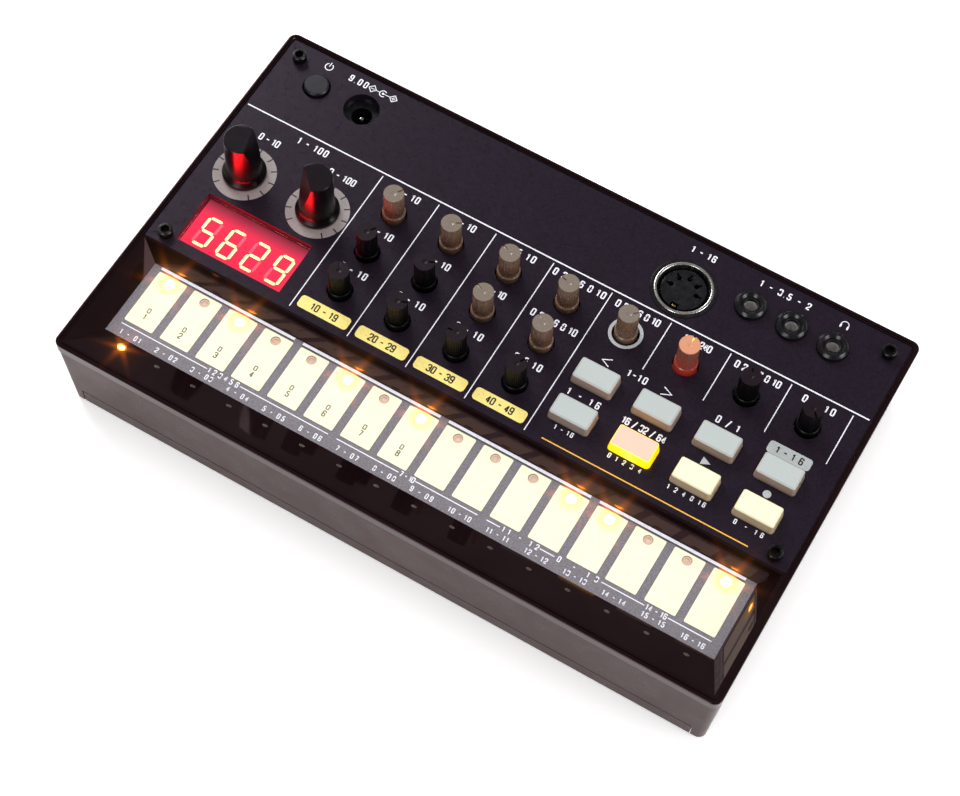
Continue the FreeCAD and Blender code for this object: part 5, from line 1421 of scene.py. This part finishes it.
def silky_key(name, sides, edge, top):
    """Key plastic: one colour down the sides, one along the bevelled edge, one on top, so sides can carry
    painted shade and the edge a painted highlight.
    """
    material, nodes, links, shader = new_finish(
        name, top, 0.38, Subsurface_Weight=0.12, Subsurface_Scale=0.0015)
    share = height_share(nodes, links, PANEL_TOP, KEY_TOP)
    stops = [(0.0, sides), (0.84, sides), (0.92, edge), (0.985, top)]
    links.new(colours_along(nodes, links, share, *stops), shader.inputs["Base Color"])
    vary_roughness(nodes, links, shader, 900, 0.32, 0.46)
    return material, nodes, links, shader, share


def lit_key(node):
    """Amber key: yellow sides with a hot spot, and a warm pink top."""
    material, nodes, links, shader, share = silky_key(
        "key_amber", (0.9, 0.5, 0.02), (0.9, 0.6, 0.2), (0.56, 0.42, 0.35))
    low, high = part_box(node)
    length = nodes.new("ShaderNodeVectorMath")
    length.operation = "DISTANCE"
    length.inputs[1].default_value = ((low.x + high.x) / 2, low.y, (PANEL_TOP + 1.3) * MM)
    links.new(object_place(nodes), length.inputs[0])
    heat = spread(nodes, links, length.outputs["Value"], 0.0010, 0.0075)
    sides = colours_along(
        nodes, links, heat, (0.0, (1.5, 1.4, 0.10)), (0.30, (1.4, 1.0, 0.0)), (1.0, (1.2, 0.60, 0.0)))
    top = nodes.new("ShaderNodeMix")
    top.data_type = "RGBA"
    links.new(spread(nodes, links, share, 0.86, 0.985), top.inputs["Factor"])
    links.new(sides, top.inputs[6])
    top.inputs[7].default_value = (0.30, 0.18, 0.11, 1)
    links.new(top.outputs[2], shader.inputs["Emission Color"])
    shader.inputs["Emission Strength"].default_value = 1.0
    return material


# Grey and cream keys: darker sides are painted shade; the grey keys' lighter edge band is a painted
# highlight.
KEY_GREY = silky_key("key_grey", (0.41, 0.31, 0.255), (0.47, 0.49, 0.47), (0.435, 0.475, 0.465))[0]
KEY_CREAM = silky_key("key_cream", (0.66, 0.50, 0.32), (0.80, 0.78, 0.50), (0.91, 0.88, 0.58))[0]
KEY_AMBER = lit_key("step_mode_button")
KEY_BLUE = moulded("key_blue", (0.0030, 0.0024, 0.0070), (0.0055, 0.0045, 0.0115), 0.34, 0.46)
print("key finishes ready")

# %% Key caps
GREY, CREAM = (KEY_GREY, "key_grey"), (KEY_CREAM, "key_cream")
KEYS = {
    "part_back": GREY, "part_next": GREY, "mute": GREY, "function": GREY, "memory": GREY,
    "step_mode": (KEY_AMBER, "key_amber"), "play": CREAM, "record": CREAM, "power": (KEY_BLUE, "key_blue"),
}
for name, (finish, slot) in KEYS.items():
    softened(f"{name}_button", 0.16, finish, slot, 3)
print("keys:", len(KEYS))

# %% [markdown]
# ## The display
# Four digits of seven bars each glow behind a red window. The digit block shines a strong red that also
# lights the knobs behind it, and it fades towards its rear edge. Faint bars show where a digit is dark.

# %% Display finishes


def display_glow():
    """Red light from the digit block, fading towards its rear."""
    material, nodes, links, shader = new_finish("display_glow", (0.05, 0.01, 0.015), 0.5)
    low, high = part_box("display_module")
    split = nodes.new("ShaderNodeSeparateXYZ")
    links.new(object_place(nodes), split.inputs["Vector"])
    share = spread(nodes, links, split.outputs["Y"], low.y, high.y)
    colour = colours_along(
        nodes, links, share,
        (0.0, (0.85, 0.030, 0.080)), (0.40, (1.0, 0.036, 0.095)), (0.62, (0.95, 0.038, 0.098)),
        (0.75, (0.80, 0.038, 0.092)), (0.83, (0.58, 0.036, 0.082)), (0.91, (0.36, 0.034, 0.066)),
        (1.0, (0.20, 0.018, 0.032)))
    links.new(colour, shader.inputs["Emission Color"])
    shader.inputs["Emission Strength"].default_value = 1.12
    return material


def bar_light(name, colour, strength):
    """Light of a digit bar, a little uneven along its length."""
    material, nodes, links, shader = new_finish(name, colour, 0.5)
    faint = tuple(part * 0.88 for part in colour)
    glow = colours_along(nodes, links, noise_of(nodes, links, 700), (0.35, faint), (0.65, colour))
    links.new(glow, shader.inputs["Emission Color"])
    shader.inputs["Emission Strength"].default_value = strength
    return material


def window_glass():
    """Faintly tinted clear window."""
    material, nodes, links, shader = new_finish(
        "window_red", (1.0, 0.90, 0.92), 0.03, Transmission_Weight=1.0, IOR=1.45)
    vary_roughness(nodes, links, shader, 300, 0.01, 0.05)
    return material


softened("display_module", 0.05, display_glow(), "inner_grey")
softened("display_window", 0.08, window_glass(), "window_red")
print("display dressed")

# %% Seven-bar digits
DIGIT_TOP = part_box("display_module")[1].z / MM + PRINT_LIFT
DIGIT_ACROSS = (-82.1, -74.7, -67.15, -59.5)
DIGIT_BACK = -8.0
HALF_DIGIT, QUARTER_DIGIT = 1.93, 2.19
DIGIT_LEAN = 0.05
BARS = {
    "a": ((-1, 2), (1, 2)), "b": ((1, 2), (1, 0)), "c": ((1, 0), (1, -2)), "d": ((-1, -2), (1, -2)),
    "e": ((-1, 0), (-1, -2)), "f": ((-1, 2), (-1, 0)), "g": ((-1, 0), (1, 0)),
}
DIGITS = {"5": "afgcd", "6": "afgcde", "2": "abged", "9": "abcdfg"}


def digit_bar(across, name, width=0.85):
    """One bar of a digit, pointed at both ends and leaning to the right."""
    (x0, y0), (x1, y1) = BARS[name]
    start = Vector((x0 * HALF_DIGIT, y0 * QUARTER_DIGIT))
    end = Vector((x1 * HALF_DIGIT, y1 * QUARTER_DIGIT))
    along = (end - start).normalized()
    side = Vector((-along.y, along.x)) * width / 2
    start, end = start + along * 0.14, end - along * 0.14
    tip = along * width / 2
    outline = [start, start + tip - side, end - tip - side, end, end - tip + side, start + tip + side]
    return [[(across + p.x + p.y * DIGIT_LEAN, DIGIT_BACK + p.y) for p in outline]]


lit_bars, dark_bars = [], []
for across, figure in zip(DIGIT_ACROSS, "5629"):
    for name in BARS:
        (lit_bars if name in DIGITS[figure] else dark_bars).extend(digit_bar(across, name))
print_on("digit_bars", lit_bars, DIGIT_TOP, bar_light("bar_lit", (1.0, 0.80, 0.35), 1.5), "window_red")
print_on("dark_bars", dark_bars, DIGIT_TOP, bar_light("bar_dark", (1.0, 0.075, 0.125), 1.12), "window_red")
print("bars lit:", len(lit_bars), "dark:", len(dark_bars))

# %% [markdown]
# ## Contacts of the five-pin socket
# Inside each pin hole sits a small sprung contact, and a brass tongue stands in the key notch. The
# contacts repeat round the axis by 45 degrees, so the ring tree places them.

# %% Socket contacts
din_across, din_back = centre_of("din_shell")
contacts = grow(
    "din_contacts", RING_OF_BARS, count=5, centre=(din_across * MM, din_back * MM, (PANEL_TOP - 3.4) * MM),
    radius=3.25 * MM, start_turn=math.radians(-90), step_turn=math.radians(45),
    bar=(0.7 * MM, 0.22 * MM, 3.0 * MM), finish=NICKEL)
settle(contacts, HOUSING, "bright_metal")
tongue = grow(
    "din_tongue", ROW_OF_BARS, count=1,
    start=(din_across * MM, (din_back - 5.45) * MM, (PANEL_TOP - 3.0) * MM),
    bar=(1.1 * MM, 0.5 * MM, 4.4 * MM), finish=BRASS)
round_the_edges(tongue, 0.1)
settle(tongue, HOUSING, "bright_metal")
print("contacts of the five-pin socket placed at", round(din_across, 1), round(din_back, 1))

# %% [markdown]
# ## Bloom
# The photograph's lens turns each bright lamp into a small star with a soft halo. The compositor's
# Glare node does the same to the finished picture, and only to pixels far brighter than white.

# %% Bloom round the lamps
scene.use_nodes = True
picture = scene.node_tree
picture.nodes.clear()
layers = picture.nodes.new("CompositorNodeRLayers")
halo = picture.nodes.new("CompositorNodeGlare")
halo.glare_type = "FOG_GLOW"
halo.inputs["Threshold"].default_value = 2.0
halo.inputs["Strength"].default_value = 0.25
halo.inputs["Size"].default_value = 0.20
star = picture.nodes.new("CompositorNodeGlare")
star.glare_type = "STREAKS"
star.inputs["Threshold"].default_value = 9.0
star.inputs["Strength"].default_value = 0.14
star.inputs["Tint"].default_value = (1.0, 0.42, 0.10, 1)
star.inputs["Streaks"].default_value = 6
star.inputs["Streaks Angle"].default_value = 0.77
star.inputs["Iterations"].default_value = 3
star.inputs["Fade"].default_value = 0.74
result = picture.nodes.new("CompositorNodeComposite")
picture.links.new(layers.outputs["Image"], halo.inputs["Image"])
picture.links.new(halo.outputs["Image"], star.inputs["Image"])
picture.links.new(star.outputs["Image"], result.inputs["Image"])
print("picture nodes:", [node.bl_idname for node in picture.nodes])
